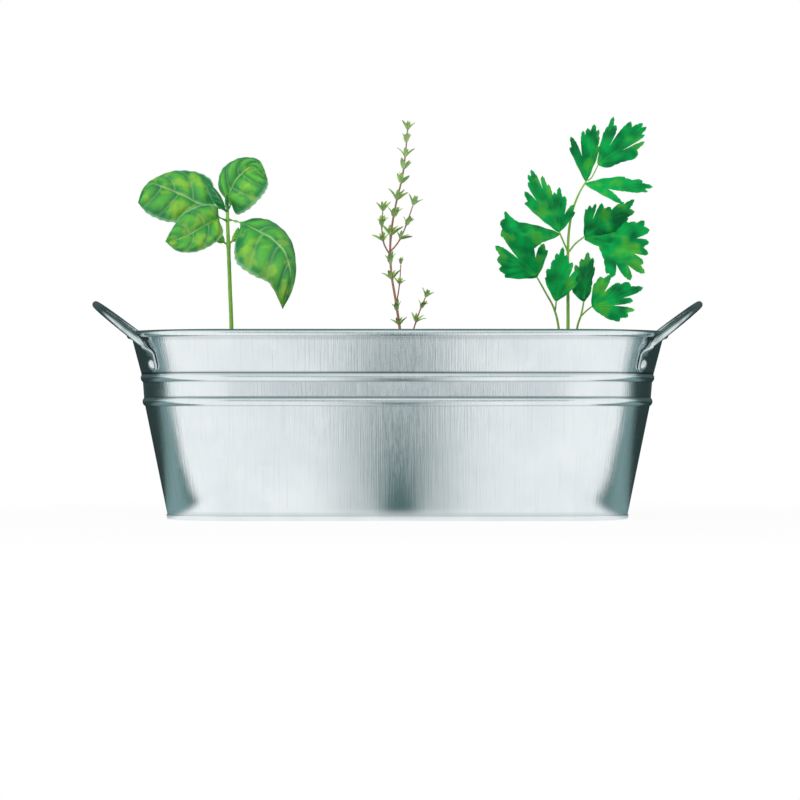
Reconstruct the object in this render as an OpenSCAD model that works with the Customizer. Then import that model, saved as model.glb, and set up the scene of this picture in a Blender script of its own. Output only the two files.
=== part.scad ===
// Indoor herb planter: a tapered tub of galvanised sheet steel with a wired rim, two rolled
// beads, a hemmed base and two riveted wire handles, filled with compost and planted with
// basil, thyme and parsley.
// Millimetres. The origin is at the middle of the standing ring, +X along the tub, +Y to
// the back and +Z up.

/* [Tub] */
// Length over the wall, taken up to the top of the rim
rim_length = 260; // [250:1:300]
// Width over the wall, taken up to the top of the rim
rim_width = 126; // [118:1:150]
// Height from the standing ring to the top of the rolled rim
tub_height = 91; // [86:1:110]
// How far each side leans out from the foot to the top of the rim
side_taper = 18.5; // [16:0.5:22]
// How much of that leans out below the lower bead
lower_taper = 11.6; // [9:0.1:13]
// How much of that leans out between the two beads
band_taper = 0.9; // [0.4:0.1:2]
// Corner radius of the wall at the rim
rim_corner = 51; // [46:1:54]
// Thickness of the sheet
sheet = 0.5; // [0.4:0.05:0.7]
// Overlap of the two wall halves at each end seam
seam_lap = 8; // [6:0.5:12]

/* [Rim, beads and base] */
// Diameter of the wire inside the rolled rim
rim_wire_d = 2.6; // [2:0.1:3.2]
// How far the rim wire stands outside the middle of the sheet
rim_wire_out = 0.65; // [0.4:0.05:1]
// Height of the middle of the lower bead
low_bead_z = 56.8; // [50:0.1:60]
// Height of the middle of the upper bead
high_bead_z = 68.3; // [66:0.1:69]
// Height of each bead along the wall
bead_chord = 3.8; // [3:0.1:4.8]
// How far each bead stands out of the wall
bead_out = 0.9; // [0.6:0.05:1.1]
// Height of the hem that grips the foot of the wall
hem_height = 2.2; // [1.8:0.1:3]
// Height of the base panel's upper face
floor_z = 3; // [2.6:0.1:5]

/* [Handles] */
// Diameter of the handle wire
wire_d = 3.3; // [2.8:0.1:3.8]
// Width of the flattened handle end
tab_width = 7.6; // [6.6:0.1:8.4]
// Thickness of the flattened handle end
tab_thick = 1.1; // [0.9:0.05:1.4]
// Length of the flattened handle end below the bend
tab_length = 8.6; // [8:0.1:10]
// Height of the rivets
rivet_z = 74.8; // [74:0.1:77]
// Angle of the rivets round the corner, from the end of the tub
rivet_turn = 36; // [30:1:42]
// Angle of the handle loop above the horizontal
handle_rise = 38; // [30:1:44]
// How far the handle loop reaches out from its bends
handle_reach = 33; // [28:0.5:38]
// Diameter of the rivet shank
rivet_d = 3; // [2.4:0.1:3.6]
// Diameter of the rivet head
rivet_head_d = 5.4; // [4.8:0.1:6]

/* [Compost] */
// Depth of the compost's middle below the top of the rim
compost_drop = 17; // [16:0.5:20]
// How far the compost falls away towards the wall
compost_crown = 3.5; // [3:0.5:5]
// Diameter of a root plug at the top
plug_d = 34; // [28:1:38]
// Depth of a root plug
plug_depth = 46; // [36:1:54]

/* [Plants] */
// Place of the basil along the tub
basil_x = -81.5; // [-86:0.5:-70]
// Place of the thyme along the tub
thyme_x = 2; // [-10:0.5:10]
// Place of the parsley along the tub
parsley_x = 83.5; // [70:0.5:86]
// Thickness of a basil leaf
basil_blade = 0.6; // [0.5:0.05:0.9]
// Thickness of a parsley leaf
parsley_blade = 0.5; // [0.4:0.05:0.8]
// Diameter of the basil stem at the compost
basil_stem_d = 1.7; // [1.6:0.1:2.6]
// Diameter of the parsley's main stem at the compost
parsley_stem_d = 1.8; // [1.6:0.1:2.6]
// Diameter of the thyme's main stem at the compost
thyme_stem_d = 1.4; // [1.2:0.1:2]

/* [Hidden] */

lean = atan((side_taper - lower_taper - band_taper) / (tub_height - high_bead_z));
bead_lean = atan(side_taper / tub_height);
base_corner = rim_corner - side_taper;
corner_x = rim_length / 2 - rim_corner;
corner_y = rim_width / 2 - rim_corner;
curl_r = rim_wire_d / 2 + sheet;
curl_z = tub_height - curl_r;
curl_mid = wall_r(curl_z) - sheet / 2 + rim_wire_out;
strip_top = curl_z - curl_r;
hem_r = 1.5 * sheet;
hem_flat = 0.05;
joggle = 1.2;
bead_r = bead_chord * bead_chord / (8 * bead_out) + bead_out / 2;
fit_gap = 0.05;
compost_z = tub_height - compost_drop;
compost_gap = 0.1;
crown_width = 16;
plug_taper = 4;
washer_d = rivet_head_d + 1.8;
washer_thick = 0.7;
tail_thick = 0.9;
rivet_head_h = 1.5;
// Hollow behind a flat washer on the curved inside of the corner
washer_hollow = 0.16;
seat_gap = 0.1;
soil_z = compost_z + seat_gap;
loop_out = [cos(handle_rise), 0, sin(handle_rise)];
loop_normal = [sin(handle_rise), 0, -cos(handle_rise)];
// Height and reach of the bend between the tab and the loop
bend_up = 3;
bend_out = 3.8;
zinc = [0.78, 0.81, 0.82];
zinc_dark = [0.6, 0.64, 0.65];
peat = [0.24, 0.16, 0.11];
basil_green = [0.35, 0.66, 0.2];
thyme_green = [0.36, 0.52, 0.2];
thyme_wood = [0.55, 0.33, 0.24];
parsley_green = [0.05, 0.55, 0.22];
stem_green = [0.55, 0.76, 0.3];

// Radius of the wall's outer face from the corner axis, at a height: the wall leans out up
// to the lower bead, stands nearly upright between the beads and leans out again above them
function wall_r(z) = z < low_bead_z
    ? base_corner + lower_taper * z / low_bead_z
    : z < high_bead_z
        ? base_corner + lower_taper + band_taper * (z - low_bead_z) / (high_bead_z - low_bead_z)
        : rim_corner - (tub_height - z) * tan(lean);
function unit(v) = v / norm(v);
function mix(a, b, s) = a * (1 - s) + b * s;
function bezier(p, s) = pow(1 - s, 3) * p[0] + 3 * pow(1 - s, 2) * s * p[1]
    + 3 * (1 - s) * s * s * p[2] + pow(s, 3) * p[3];
function bezier_dir(p, s) = unit(pow(1 - s, 2) * (p[1] - p[0])
    + 2 * (1 - s) * s * (p[2] - p[1]) + s * s * (p[3] - p[2]));

// A closed skin over a list of rings that have the same number of points each
module skin(rings) {
    m = len(rings[0]);
    n = len(rings);
    sides = [for (i = [0:n - 2], j = [0:m - 1])
        let (k = (j + 1) % m, a = i * m + j, b = i * m + k, c = a + m, d = b + m)
        each [[a, b, d], [a, d, c]]];
    first = [for (j = [1:m - 2]) [0, j + 1, j]];
    last = [for (j = [1:m - 2]) [(n - 1) * m, (n - 1) * m + j, (n - 1) * m + j + 1]];
    polyhedron([for (r = rings, p = r) p], concat(sides, first, last));
}

// Points on an ellipse round c, with half axes a along u and b along v
function oval(c, u, v, a, b, sides) =
    [for (i = [0:sides - 1]) let (t = 360 * i / sides) c + a * cos(t) * u + b * sin(t) * v];

// Sweeps a profile, drawn outwards from the corner axis, round one corner
module corner_sweep(quarter) {
    side_x = (quarter == 0 || quarter == 3) ? 1 : -1;
    side_y = (quarter == 0 || quarter == 1) ? 1 : -1;
    translate([side_x * corner_x, side_y * corner_y, 0])
        rotate([0, 0, 90 * quarter])
            rotate_extrude(angle = 90, $fn = 96) children();
}

// Extrudes the same profile along a side: start is the place on the side, run its length
module side_sweep(turn, start, run) {
    rotate([0, 0, turn]) translate(start)
        rotate([90, 0, 0]) linear_extrude(run) children();
}

// A whole ring of a profile round the tub
module tub_ring() {
    for (q = [0:3]) corner_sweep(q) children();
    for (turn = [0, 180]) {
        side_sweep(turn, [corner_x, corner_y, 0], 2 * corner_y) children();
        side_sweep(turn + 90, [corner_y, corner_x, 0], 2 * corner_x) children();
    }
}

// The front half of a ring; right and left are where it stops at the two end seams
module half_ring(right = 0, left = 0) {
    side_sweep(0, [corner_x, right, 0], corner_y + right) children();
    corner_sweep(3) children();
    side_sweep(-90, [corner_y, corner_x, 0], 2 * corner_x) children();
    corner_sweep(2) children();
    side_sweep(180, [corner_x, corner_y, 0], corner_y + left) children();
}

// A slanting strip of the wall between two heights, moved out by shift
module strip_2d(z0, z1, shift = 0, thick = sheet) {
    polygon([[wall_r(z0) + shift - thick, z0], [wall_r(z0) + shift, z0],
             [wall_r(z1) + shift, z1], [wall_r(z1) + shift - thick, z1]]);
}

// The wall's section with its two pressed beads; shift is one sheet where it lies on another
module wall_2d(z0, z1, shift = 0) {
    difference() {
        union() {
            strip_2d(z0, low_bead_z, shift);
            strip_2d(low_bead_z, high_bead_z, shift);
            strip_2d(high_bead_z, z1, shift);
            for (z = [low_bead_z, high_bead_z]) intersection() {
                bead_circle(z, bead_r + shift);
                outer_side(z, shift - sheet / 2);
            }
        }
        for (z = [low_bead_z, high_bead_z]) bead_circle(z, bead_r + shift - sheet);
    }
}

module bead_circle(z, r) {
    depth = bead_r - bead_out;
    translate([wall_r(z) - depth * cos(bead_lean), z + depth * sin(bead_lean)])
        circle(r, $fn = 64);
}

// Everything outside the wall line near one bead
module outer_side(z, shift) {
    far = wall_r(z) + 4 * bead_out;
    polygon([for (step = [-bead_chord, 0, bead_chord]) [wall_r(z + step) + shift, z + step],
             [far, z + bead_chord], [far, z - bead_chord]]);
}

// The rolled rim: the top of the sheet turned out and over the rim wire
module curl_2d() {
    open_from = 262;
    open_to = 290;
    difference() {
        union() {
            translate([curl_mid, curl_z]) circle(curl_r, $fn = 64);
            strip_2d(strip_top, curl_z - curl_r / 2);
        }
        translate([curl_mid, curl_z]) circle(rim_wire_d / 2, $fn = 64);
        translate([curl_mid, curl_z])
            polygon([[0, 0], for (a = [open_from, open_to]) 3 * curl_r * [cos(a), sin(a)]]);
    }
}

// Turns +Z to a direction at a point
module aim(point, direction) {
    translate(point)
        rotate([0, acos(direction.z), atan2(direction.y, direction.x)]) children();
}

// A point on the wall's outer face at a corner: sx and sy pick the corner
function corner_point(sx, sy, z, out = 0) =
    let (r = wall_r(z) + out)
    [sx * (corner_x + r * cos(rivet_turn)), sy * (corner_y + r * sin(rivet_turn)), z];
function corner_normal(sx, sy) = [sx * cos(lean) * cos(rivet_turn),
                                  sy * cos(lean) * sin(rivet_turn), -sin(lean)];
function corner_up(sx, sy) = [sx * sin(lean) * cos(rivet_turn),
                              sy * sin(lean) * sin(rivet_turn), cos(lean)];

module rivet_holes(ys) {
    for (sx = [-1, 1], sy = ys)
        aim(corner_point(sx, sy, rivet_z), corner_normal(sx, sy))
            cylinder(h = 6, r = rivet_d / 2 + fit_gap, center = true, $fn = 48);
}

// One wall half: a plain edge at the left end and a joggled flap over the other half at the right
module wall_half() {
    flap_z0 = hem_height + sheet;
    flap_z1 = strip_top - sheet;
    lap = seam_lap / 2;
    difference() {
        union() {
            half_ring() curl_2d();
            half_ring(-lap, lap - joggle) wall_2d(hem_r - hem_flat, strip_top);
            side_sweep(0, [corner_x, joggle / 2 - lap, 0], joggle)
                wall_2d(flap_z0 + sheet, flap_z1 - sheet, sheet / 2);
            side_sweep(0, [corner_x, lap, 0], seam_lap - joggle / 4)
                wall_2d(flap_z0, flap_z1, sheet);
        }
        rivet_holes([-1]);
    }
}

module front_wall() {
    color(zinc) wall_half();
}

module rear_wall() {
    color(zinc) rotate([0, 0, 180]) wall_half();
}

// The base: a panel on a skirt that turns under the foot of the wall and up outside it
module base_pan() {
    skirt_in = wall_r(floor_z) - 2 * sheet;
    foot_mid = wall_r(hem_r) - sheet / 2;
    color(zinc_dark) {
        tub_ring() {
            strip_2d(hem_r - hem_flat, floor_z, -sheet);
            strip_2d(hem_r - hem_flat, hem_height, sheet);
            intersection() {
                difference() {
                    translate([foot_mid, hem_r - hem_flat]) circle(hem_r, $fn = 48);
                    translate([foot_mid, hem_r - hem_flat]) circle(sheet / 2, $fn = 48);
                }
                translate([foot_mid - 2 * hem_r, 0])
                    square([4 * hem_r, hem_r - hem_flat]);
            }
        }
        translate([0, 0, floor_z - sheet]) linear_extrude(sheet) tub_outline(skirt_in + sheet / 2);
    }
}

// The tub's plan at a given corner radius
module tub_outline(r) {
    square([2 * corner_x, 2 * (corner_y + r)], center = true);
    square([2 * (corner_x + r), 2 * corner_y], center = true);
    for (sx = [-1, 1], sy = [-1, 1]) translate([sx * corner_x, sy * corner_y])
        circle(r, $fn = 96);
}

module rim_wire() {
    color(zinc_dark) tub_ring()
        translate([curl_mid, curl_z]) circle(rim_wire_d / 2 - fit_gap, $fn = 48);
}

// The handle's centre line on the right, as rings: place, direction, thin axis, half axes
function handle_leg(sy) =
    let (seat = tab_thick / 2 + fit_gap,
         n = corner_normal(1, sy),
         g = corner_up(1, sy),
         eye = corner_point(1, sy, rivet_z) + seat * n,
         foot = eye - (tab_width / 2) * g,
         top = eye + (tab_length - tab_width / 2) * g,
         start = handle_bend(sy),
         pull = 2)
    concat(
        [for (a = [12, 34, 60, 90]) let (half = tab_width / 2)
            [foot + half * (1 - cos(a)) * g, g, n, max(0.4, half * sin(a)), tab_thick / 2]],
        [[top, g, n, tab_width / 2, tab_thick / 2]],
        [for (i = [1:6])
            let (s = i / 6, p = [top, top + pull * g, start - pull * loop_out, start],
                 round = min(1, 1.25 * s), half = mix(tab_thick, wire_d, round) / 2,
                 clear = (half - tab_thick / 2) * (1 - pow(s, 3)))
            [bezier(p, s) + clear * n, bezier_dir(p, s), unit(mix(n, loop_normal, s)),
             mix(tab_width, wire_d, round) / 2, half]]);

// Where a leg meets the loop
function handle_bend(sy) =
    let (top = corner_point(1, sy, rivet_z) + (tab_thick / 2 + fit_gap) * corner_normal(1, sy)
             + (tab_length - tab_width / 2) * corner_up(1, sy),
         b = top + bend_up * corner_up(1, sy) + bend_out * loop_out)
    [b.x, sy * abs(top.y), b.z];

function handle_loop() =
    let (a = handle_bend(-1), half = abs(a.y), steps = 28)
    [for (i = [1:steps - 1]) let (t = 180 * i / steps)
        [[a.x, 0, a.z] + handle_reach * sin(t) * loop_out - [0, half * cos(t), 0],
         unit(handle_reach * cos(t) * loop_out + [0, half * sin(t), 0]),
         loop_normal, wire_d / 2, wire_d / 2]];

function reversed(rings) = [for (i = [len(rings) - 1:-1:0])
    let (r = rings[i]) [r[0], -r[1], r[2], r[3], r[4]]];

module handle() {
    line = concat(handle_leg(-1), handle_loop(), reversed(handle_leg(1)));
    difference() {
        skin([for (r = line) let (across = unit(cross(r[1], r[2])))
            oval(r[0], across, unit(cross(across, r[1])), r[3], r[4], 12)]);
        for (sy = [-1, 1])
            aim(corner_point(1, sy, rivet_z), corner_normal(1, sy))
                cylinder(h = 8, r = rivet_d / 2 + fit_gap, center = true, $fn = 48);
    }
}

module right_handle() {
    color(zinc_dark) handle();
}

module left_handle() {
    color(zinc_dark) rotate([0, 0, 180]) handle();
}

// A domed rivet: head on the tab, shank through the wall, tail clenched on the washer
module rivet() {
    grip = tab_thick + 2 * fit_gap;
    tail_z = -(sheet + washer_hollow + washer_thick);
    head_ball = (pow(rivet_head_d / 2, 2) + pow(rivet_head_h, 2)) / (2 * rivet_head_h);
    translate([0, 0, tail_z - tail_thick / 2])
        cylinder(h = grip - tail_z + tail_thick / 2, r = rivet_d / 2, $fn = 48);
    intersection() {
        translate([0, 0, grip + rivet_head_h - head_ball]) sphere(head_ball, $fn = 64);
        translate([0, 0, grip])
            cylinder(h = 2 * rivet_head_h, r = rivet_head_d / 2, $fn = 64);
    }
    translate([0, 0, tail_z - tail_thick])
        cylinder(h = tail_thick, r1 = rivet_d / 2, r2 = rivet_d / 2 + 0.7, $fn = 48);
}

module rivet_pair(sx) {
    for (sy = [-1, 1])
        aim(corner_point(sx, sy, rivet_z), corner_normal(sx, sy)) rivet();
}

module left_rivets() {
    color(zinc) rivet_pair(-1);
}

module right_rivets() {
    color(zinc) rivet_pair(1);
}

module washer_pair(sx) {
    for (sy = [-1, 1]) aim(corner_point(sx, sy, rivet_z), corner_normal(sx, sy))
        translate([0, 0, -(sheet + washer_hollow + washer_thick)]) difference() {
            cylinder(h = washer_thick, r = washer_d / 2, $fn = 64);
            translate([0, 0, -1]) cylinder(h = washer_thick + 2, r = rivet_d / 2 + fit_gap, $fn = 48);
        }
}

module left_rivet_washers() {
    color(zinc_dark) washer_pair(-1);
}

module right_rivet_washers() {
    color(zinc_dark) washer_pair(1);
}

// A box with the tub's rounded plan that tapers from radius r0 to r1 between two heights
module tub_solid(z0, z1, r0, r1) {
    h = z1 - z0;
    for (sx = [-1, 1], sy = [-1, 1]) translate([sx * corner_x, sy * corner_y, z0])
        cylinder(h = h, r1 = r0, r2 = r1, $fn = 96);
    for (turn = [0, 90]) {
        reach = (turn == 0) ? corner_x : corner_y;
        run = (turn == 0) ? corner_y : corner_x;
        rotate([0, 0, turn]) translate([0, run, 0]) rotate([90, 0, 0]) linear_extrude(2 * run)
            polygon([[-reach - r0, z0], [reach + r0, z0], [reach + r1, z1], [-reach - r1, z1]]);
    }
}

module root_pockets() {
    for (x = [basil_x, thyme_x, parsley_x]) translate([x, 0, 0]) root_plug(compost_gap);
}

// The compost, filled to a shallow crown, with a pocket for each root plug
module compost() {
    edge_z = compost_z - compost_crown;
    inset = sheet + compost_gap;
    color(peat) difference() {
        union() {
            tub_solid(floor_z, low_bead_z, wall_r(floor_z) - inset, wall_r(low_bead_z) - inset);
            tub_solid(low_bead_z, high_bead_z, wall_r(low_bead_z) - inset,
                      wall_r(high_bead_z) - inset);
            tub_solid(high_bead_z, edge_z, wall_r(high_bead_z) - inset, wall_r(edge_z) - inset);
            tub_solid(edge_z, compost_z, wall_r(edge_z) - inset,
                      wall_r(edge_z) - inset - crown_width);
        }
        root_pockets();
    }
}

// One tapered plug of roots and potting mix; gap makes it the pocket that holds it
module root_plug(gap = 0) {
    up = (gap > 0) ? 1 : 0;
    grow = up * plug_taper / plug_depth;
    translate([0, 0, compost_z - plug_depth - gap])
        cylinder(h = plug_depth + gap + up, r1 = plug_d / 2 - plug_taper + gap,
                 r2 = plug_d / 2 + gap + grow, $fn = 64);
}

module basil_root_plug() {
    color(peat) translate([basil_x, 0, 0]) root_plug();
}

module thyme_root_plug() {
    color(peat) translate([thyme_x, 0, 0]) root_plug();
}

module parsley_root_plug() {
    color(peat) translate([parsley_x, 0, 0]) root_plug();
}

// A stem is [points, lower diameter, upper diameter]; s runs along it, one for each point
function last_step(stem) = len(stem[0]) - 1;
function along(stem, s) =
    let (p = stem[0], n = last_step(stem), i = min(floor(s), n - 1), t = s - i,
         a = p[max(i - 1, 0)], b = p[i], c = p[i + 1], d = p[min(i + 2, n)])
    0.5 * (2 * b + (c - a) * t + (2 * a - 5 * b + 4 * c - d) * t * t
           + (3 * b - a - 3 * c + d) * t * t * t);
function heading(stem, s) =
    unit(along(stem, min(s + 0.05, last_step(stem))) - along(stem, max(s - 0.05, 0)));
function radius(stem, s) = mix(stem[1], stem[2], s / last_step(stem)) / 2;

// The place where a stalk of radius r leaves a stem at s towards a point
function seat(stem, s, goal, r) =
    let (p = along(stem, s), d = unit(goal - p), c = min(0.95, abs(d * heading(stem, s))))
    p + d * ((radius(stem, s) + r * c) / sqrt(1 - c * c) + seat_gap);

// The place where a stalk of radius r leaves a stem's upper end towards a point
function tip(stem) = along(stem, last_step(stem));
function tip_seat(stem, goal, r) =
    let (p = tip(stem), d = unit(goal - p), c = abs(d * heading(stem, last_step(stem))))
    p + d * (seat_gap + r * sqrt(1 - c * c)) / c;

// A stem grown out of another: its points after the seat, and its two diameters
function branch(stem, s, points, d0, d1) = [concat([seat(stem, s, points[0], d0 / 2)], points), d0, d1];

module grow(stem, sides = 8, per = 2) {
    n = per * last_step(stem);
    skin([for (k = [0:n]) let (s = k / per, d = heading(stem, s),
                               across = unit(cross(d, [0, 1, 0.01])))
        oval(along(stem, s), across, unit(cross(across, d)), radius(stem, s), radius(stem, s),
             sides)]);
}

// Half width of a pointed oval leaf, from 0 at its base to 1 where it is widest
function ovate(s) = pow(max(0, sin(180 * pow(s, 0.78))), 0.72);

// A leaf bud on its stalk: rib has four control points, face is where the upper side looks,
// and folds are the angles at which the right and left halves bend down from the midrib
module bud_leaf(rib, half, folds, face, stalk, stalk_d, blade = basil_blade, rows = 12) {
    skin([for (k = [0:rows])
        let (t = k / rows, s = max(0, (t - stalk) / (1 - stalk)),
             d = bezier_dir(rib, t), side = unit(cross(d, face)), up = unit(cross(side, d)),
             w = max(stalk_d / 2 * (1 - s), half * ovate(s), 0.15),
             thick = mix(stalk_d, blade, min(1, 5 * s)))
        leaf_ring(bezier(rib, t), w * (cos(folds[0]) * side - sin(folds[0]) * up),
                  w * (-cos(folds[1]) * side - sin(folds[1]) * up), up, thick, 0)]);
}

// One ring of a leaf: its midrib point, the ways to its two edges and its upper side's facing
function leaf_ring(p, plus, minus, up, thick, dome) =
    [for (v = [3:-1:-3]) leaf_point(p, v < 0 ? minus : plus, up, abs(v) / 3, thick, dome),
     for (v = [-2:2]) leaf_point(p, v < 0 ? minus : plus, up, abs(v) / 3, -thick, dome)];
function leaf_point(p, edge, up, v, thick, dome) =
    p + v * edge + (thick / 2 * (1 - v * v) + dome * norm(edge) * v * (1 - v)) * up;

// A wide leaf laid over three rails, each a list of points from the stalk's foot to the tip:
// its midrib, and its two edges, which start from the stalk and end at the tip
module wide_leaf(rib, plus, minus, stalk_d, blade = basil_blade, dome = 0.35, rows = 20) {
    n = len(rib) - 1;
    foot = unit(cross(rib[1] - rib[0], [0, -1, 0.3])) * stalk_d / 2;
    ends = [rib[0], rib[1]];
    plus_rail = [concat([for (p = ends) p + foot], plus, [rib[n]])];
    minus_rail = [concat([for (p = ends) p - foot], minus, [rib[n]])];
    skin([for (k = [0:rows])
        let (s = n * min(k / rows, 0.985), p = along([rib], s), d = heading([rib], s),
             a = along(plus_rail, s) - p, b = along(minus_rail, s) - p,
             up = unit(cross(a - b, d)), thick = mix(stalk_d, blade, min(1, max(0, s - 0.6))))
        leaf_ring(p, a, b, up, thick, dome)]);
}

// Basil: one stem with two pairs of broad leaves, a growing tip and a pair of side shoots
basil = [[[0, 0, 0], [0, 0, 19], [-0.8, 0.2, 40], [-1.5, 0.3, 60], [-1.9, 0, 71], [-2, 0, 77]],
         basil_stem_d, 0.75 * basil_stem_d];

module basil_place() {
    color(basil_green) translate([basil_x, 0, soil_z]) children();
}

// The place on the stem, or on its tip, where a leaf stalk towards a point starts
function basil_seat(s, goal, stalk_d) =
    (s < last_step(basil)) ? seat(basil, s, goal, stalk_d / 2) : tip_seat(basil, goal, stalk_d / 2);

// A large leaf at s on the stem: its midrib from the blade's base to the tip, and the edges on
// either side of it without their ends
module basil_leaf(s, rib, plus, minus, stalk_d = 1.1) {
    basil_place() wide_leaf(concat([basil_seat(s, rib[0], stalk_d)], rib), plus, minus, stalk_d);
}

// A small leaf at s on the stem: the last three points of its midrib, then the leaf's shape
module basil_bud(s, points, half, folds, face, stalk, stalk_d) {
    basil_place() bud_leaf(concat([basil_seat(s, points[0], stalk_d)], points), half, folds, face,
                           stalk, stalk_d);
}

module basil_stem() {
    color(stem_green) translate([basil_x, 0, soil_z]) grow(basil);
}

module basil_leaf_left() {
    basil_leaf(4.9,
        [[-8.5, 1, 79.2], [-16, 1.5, 80.2], [-24, 2, 84.2], [-32, 1, 87.6], [-40, -2, 89.4],
         [-45.5, -5, 80.4]],
        [[-9.8, 6, 91.5], [-18, 9, 96.6], [-30, 8, 96.8], [-40.5, 2, 91]],
        [[-14.5, -3, 72.8], [-23, -5, 70.6], [-32, -6, 71.3], [-40.5, -6, 74.8]]);
}

module basil_leaf_top() {
    basil_leaf(5,
        [[-0.6, 1.5, 80], [-0.8, 2.5, 86], [2.5, 3.5, 92.5], [7, 3.5, 97], [11.5, 0.5, 98],
         [18, -7, 92]],
        [[4.5, -1, 75.5], [10, -4.5, 78.5], [15.4, -7, 84], [18.3, -8, 88.6]],
        [[-6.6, 3, 88.4], [-4.8, 5, 97.8], [4, 5, 103.2], [13.5, 1, 101.8]]);
}

module basil_leaf_front() {
    basil_leaf(4.1,
        [[-5.8, -5, 73], [-10.5, -9.5, 70.2], [-16.5, -14, 66], [-22.5, -17.5, 62.4],
         [-27.5, -19, 60.8], [-31, -19.5, 60.6]],
        [[-6.8, -6, 78.8], [-14, -9.5, 79], [-23, -13.5, 74.2], [-28.6, -17.5, 65.6]],
        [[-3.6, -10, 65], [-9, -16, 58.8], [-17, -20.5, 55.3], [-25.3, -21.5, 55.8]]);
}

module basil_leaf_right() {
    basil_leaf(4.2,
        [[4.5, -1.5, 70.7], [12.9, -5, 66.6], [20.6, -9, 62.1], [26.6, -12.5, 55.2],
         [29, -14.5, 44.5], [25.7, -14.5, 28]],
        [[1.8, -8, 58], [3.5, -13, 50.2], [11, -16.5, 44.4], [19.5, -17, 40]],
        [[12, -0.5, 73.2], [22, 1, 70.5], [30.2, -1, 60], [31.4, -8, 42.5]]);
}

module basil_tip_leaf_left() {
    basil_bud(4.6, [[-5, -3, 81], [-8, -5, 86], [-12.3, -4, 90.7]], 3.2, [30, 30],
               [0.4, -0.9, 0.3], 0.1, 0.9);
}

module basil_tip_leaf_right() {
    basil_bud(4.75, [[-1.2, -3.4, 79], [-1.4, -5.4, 81.5], [-2.4, -6.6, 84.5]], 2.2, [30, 30],
               [0.2, -0.7, 0.9], 0.1, 0.8);
}

module basil_side_shoot_left() {
    basil_bud(3, [[-4.2, -0.4, 61.5], [-6, -1, 64.5], [-7.4, -1.6, 68]], 1.9, [25, 25],
               [0.5, -0.8, 0.3], 0.35, 0.9);
}

module basil_side_shoot_right() {
    basil_bud(3.05, [[1, -0.4, 62], [2.6, -1, 65], [3.4, -1.4, 68.5]], 1.7, [25, 25],
               [-0.5, -0.8, 0.3], 0.35, 0.9);
}

// Thyme: a wiry main stem that forks, two low shoots and rings of small leaves
thyme = [[[0, 0, 0], [-0.5, 0, 15], [-2.6, 0.3, 31], [-5.1, 1, 47], [-5.4, 1.5, 63],
          [-3, 0.6, 79], [0.4, -0.5, 93.5], [1.9, 0.4, 105], [3, 1.4, 117]],
         thyme_stem_d, 0.5 * thyme_stem_d];
thyme_left = branch(thyme, 3.5, [[-8.6, -2, 60.5], [-9.7, -4.5, 68], [-9.2, -6.5, 76]],
                    0.6 * thyme_stem_d, 0.4 * thyme_stem_d);
thyme_right = branch(thyme, 3.6, [[-1.4, 4.5, 62], [1.8, 7, 69], [5.6, 8.5, 80]],
                     0.6 * thyme_stem_d, 0.4 * thyme_stem_d);
thyme_low = branch(thyme, 2, [[-1.5, -3.6, 37], [-0.8, -6, 43], [-0.4, -7, 50]],
                   0.5 * thyme_stem_d, 0.35 * thyme_stem_d);
thyme_young = [[[4, -3, 0], [4.9, -3.4, 14], [8, -4.4, 25], [11.6, -5, 34]],
               0.6 * thyme_stem_d, 0.4 * thyme_stem_d];

// One small pointed leaf from a point, along a direction
module small_leaf(from, d, up, length, half, thick = 0.4) {
    side = unit(cross(d, up));
    rise = unit(cross(side, d));
    skin([for (step = [[0, 0.22, 0.1], [0.35, 0.9, 0.35], [0.65, 1, 0.3], [1, 0.16, -0.3]])
        oval(from + step[0] * length * d + 0.5 * step[2] * rise, side, rise,
             step[1] * half, step[1] * thick / 2, 4)]);
}

// Rings of four leaves round a stem: two long and two short, each ring a quarter turn on
module leaf_rings(stem, from, to, rings, low_length, top_length) {
    for (k = [0:rings - 1]) {
        f = (rings > 1) ? k / (rings - 1) : 1;
        s = mix(from, to, f);
        d = heading(stem, s);
        east = unit(cross(d, [0, 1, 0.01]));
        north = unit(cross(east, d));
        full = mix(low_length, top_length, f);
        for (j = [0:3]) {
            long = (j % 2 == 0);
            size = long ? full : 0.6 * full;
            a = 90 * j + 70 * k + 20;
            out = cos(a) * east + sin(a) * north;
            rise = (long ? 35 : 55) + 20 * f;
            go = cos(rise) * out + sin(rise) * d;
            reach = (radius(stem, s) + 0.22 * 0.19 * size) / cos(rise) + seat_gap;
            small_leaf(along(stem, s) + reach * go, go, d, size, 0.19 * size);
        }
    }
}

module thyme_wood_part() {
    color(thyme_wood) translate([thyme_x, 0, soil_z]) children();
}

module thyme_leaf_part() {
    color(thyme_green) translate([thyme_x, 0, soil_z]) children();
}

module thyme_main_stem() {
    thyme_wood_part() grow(thyme, 6);
}

module thyme_left_branch() {
    thyme_wood_part() grow(thyme_left, 6);
}

module thyme_right_branch() {
    thyme_wood_part() grow(thyme_right, 6);
}

module thyme_low_branch() {
    thyme_wood_part() grow(thyme_low, 6);
}

module thyme_young_branch() {
    thyme_wood_part() grow(thyme_young, 6);
}

module thyme_main_leaves() {
    thyme_leaf_part() {
        leaf_rings(thyme, 4.1, 8, 8, 6.5, 4.6);
        leaf_rings(thyme, 2.75, 3.2, 2, 5.4, 5.6);
        leaf_rings(thyme, 1.35, 1.75, 2, 4.4, 4.8);
    }
}

module thyme_left_leaves() {
    thyme_leaf_part() leaf_rings(thyme_left, 1.2, 3, 3, 5.2, 5);
}

module thyme_right_leaves() {
    thyme_leaf_part() leaf_rings(thyme_right, 1.2, 3, 3, 5.2, 5);
}

module thyme_low_leaves() {
    thyme_leaf_part() leaf_rings(thyme_low, 1.6, 3, 2, 3.6, 3.4);
}

module thyme_young_leaves() {
    thyme_leaf_part() leaf_rings(thyme_young, 1.7, 3, 3, 4.6, 4.2);
}

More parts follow.
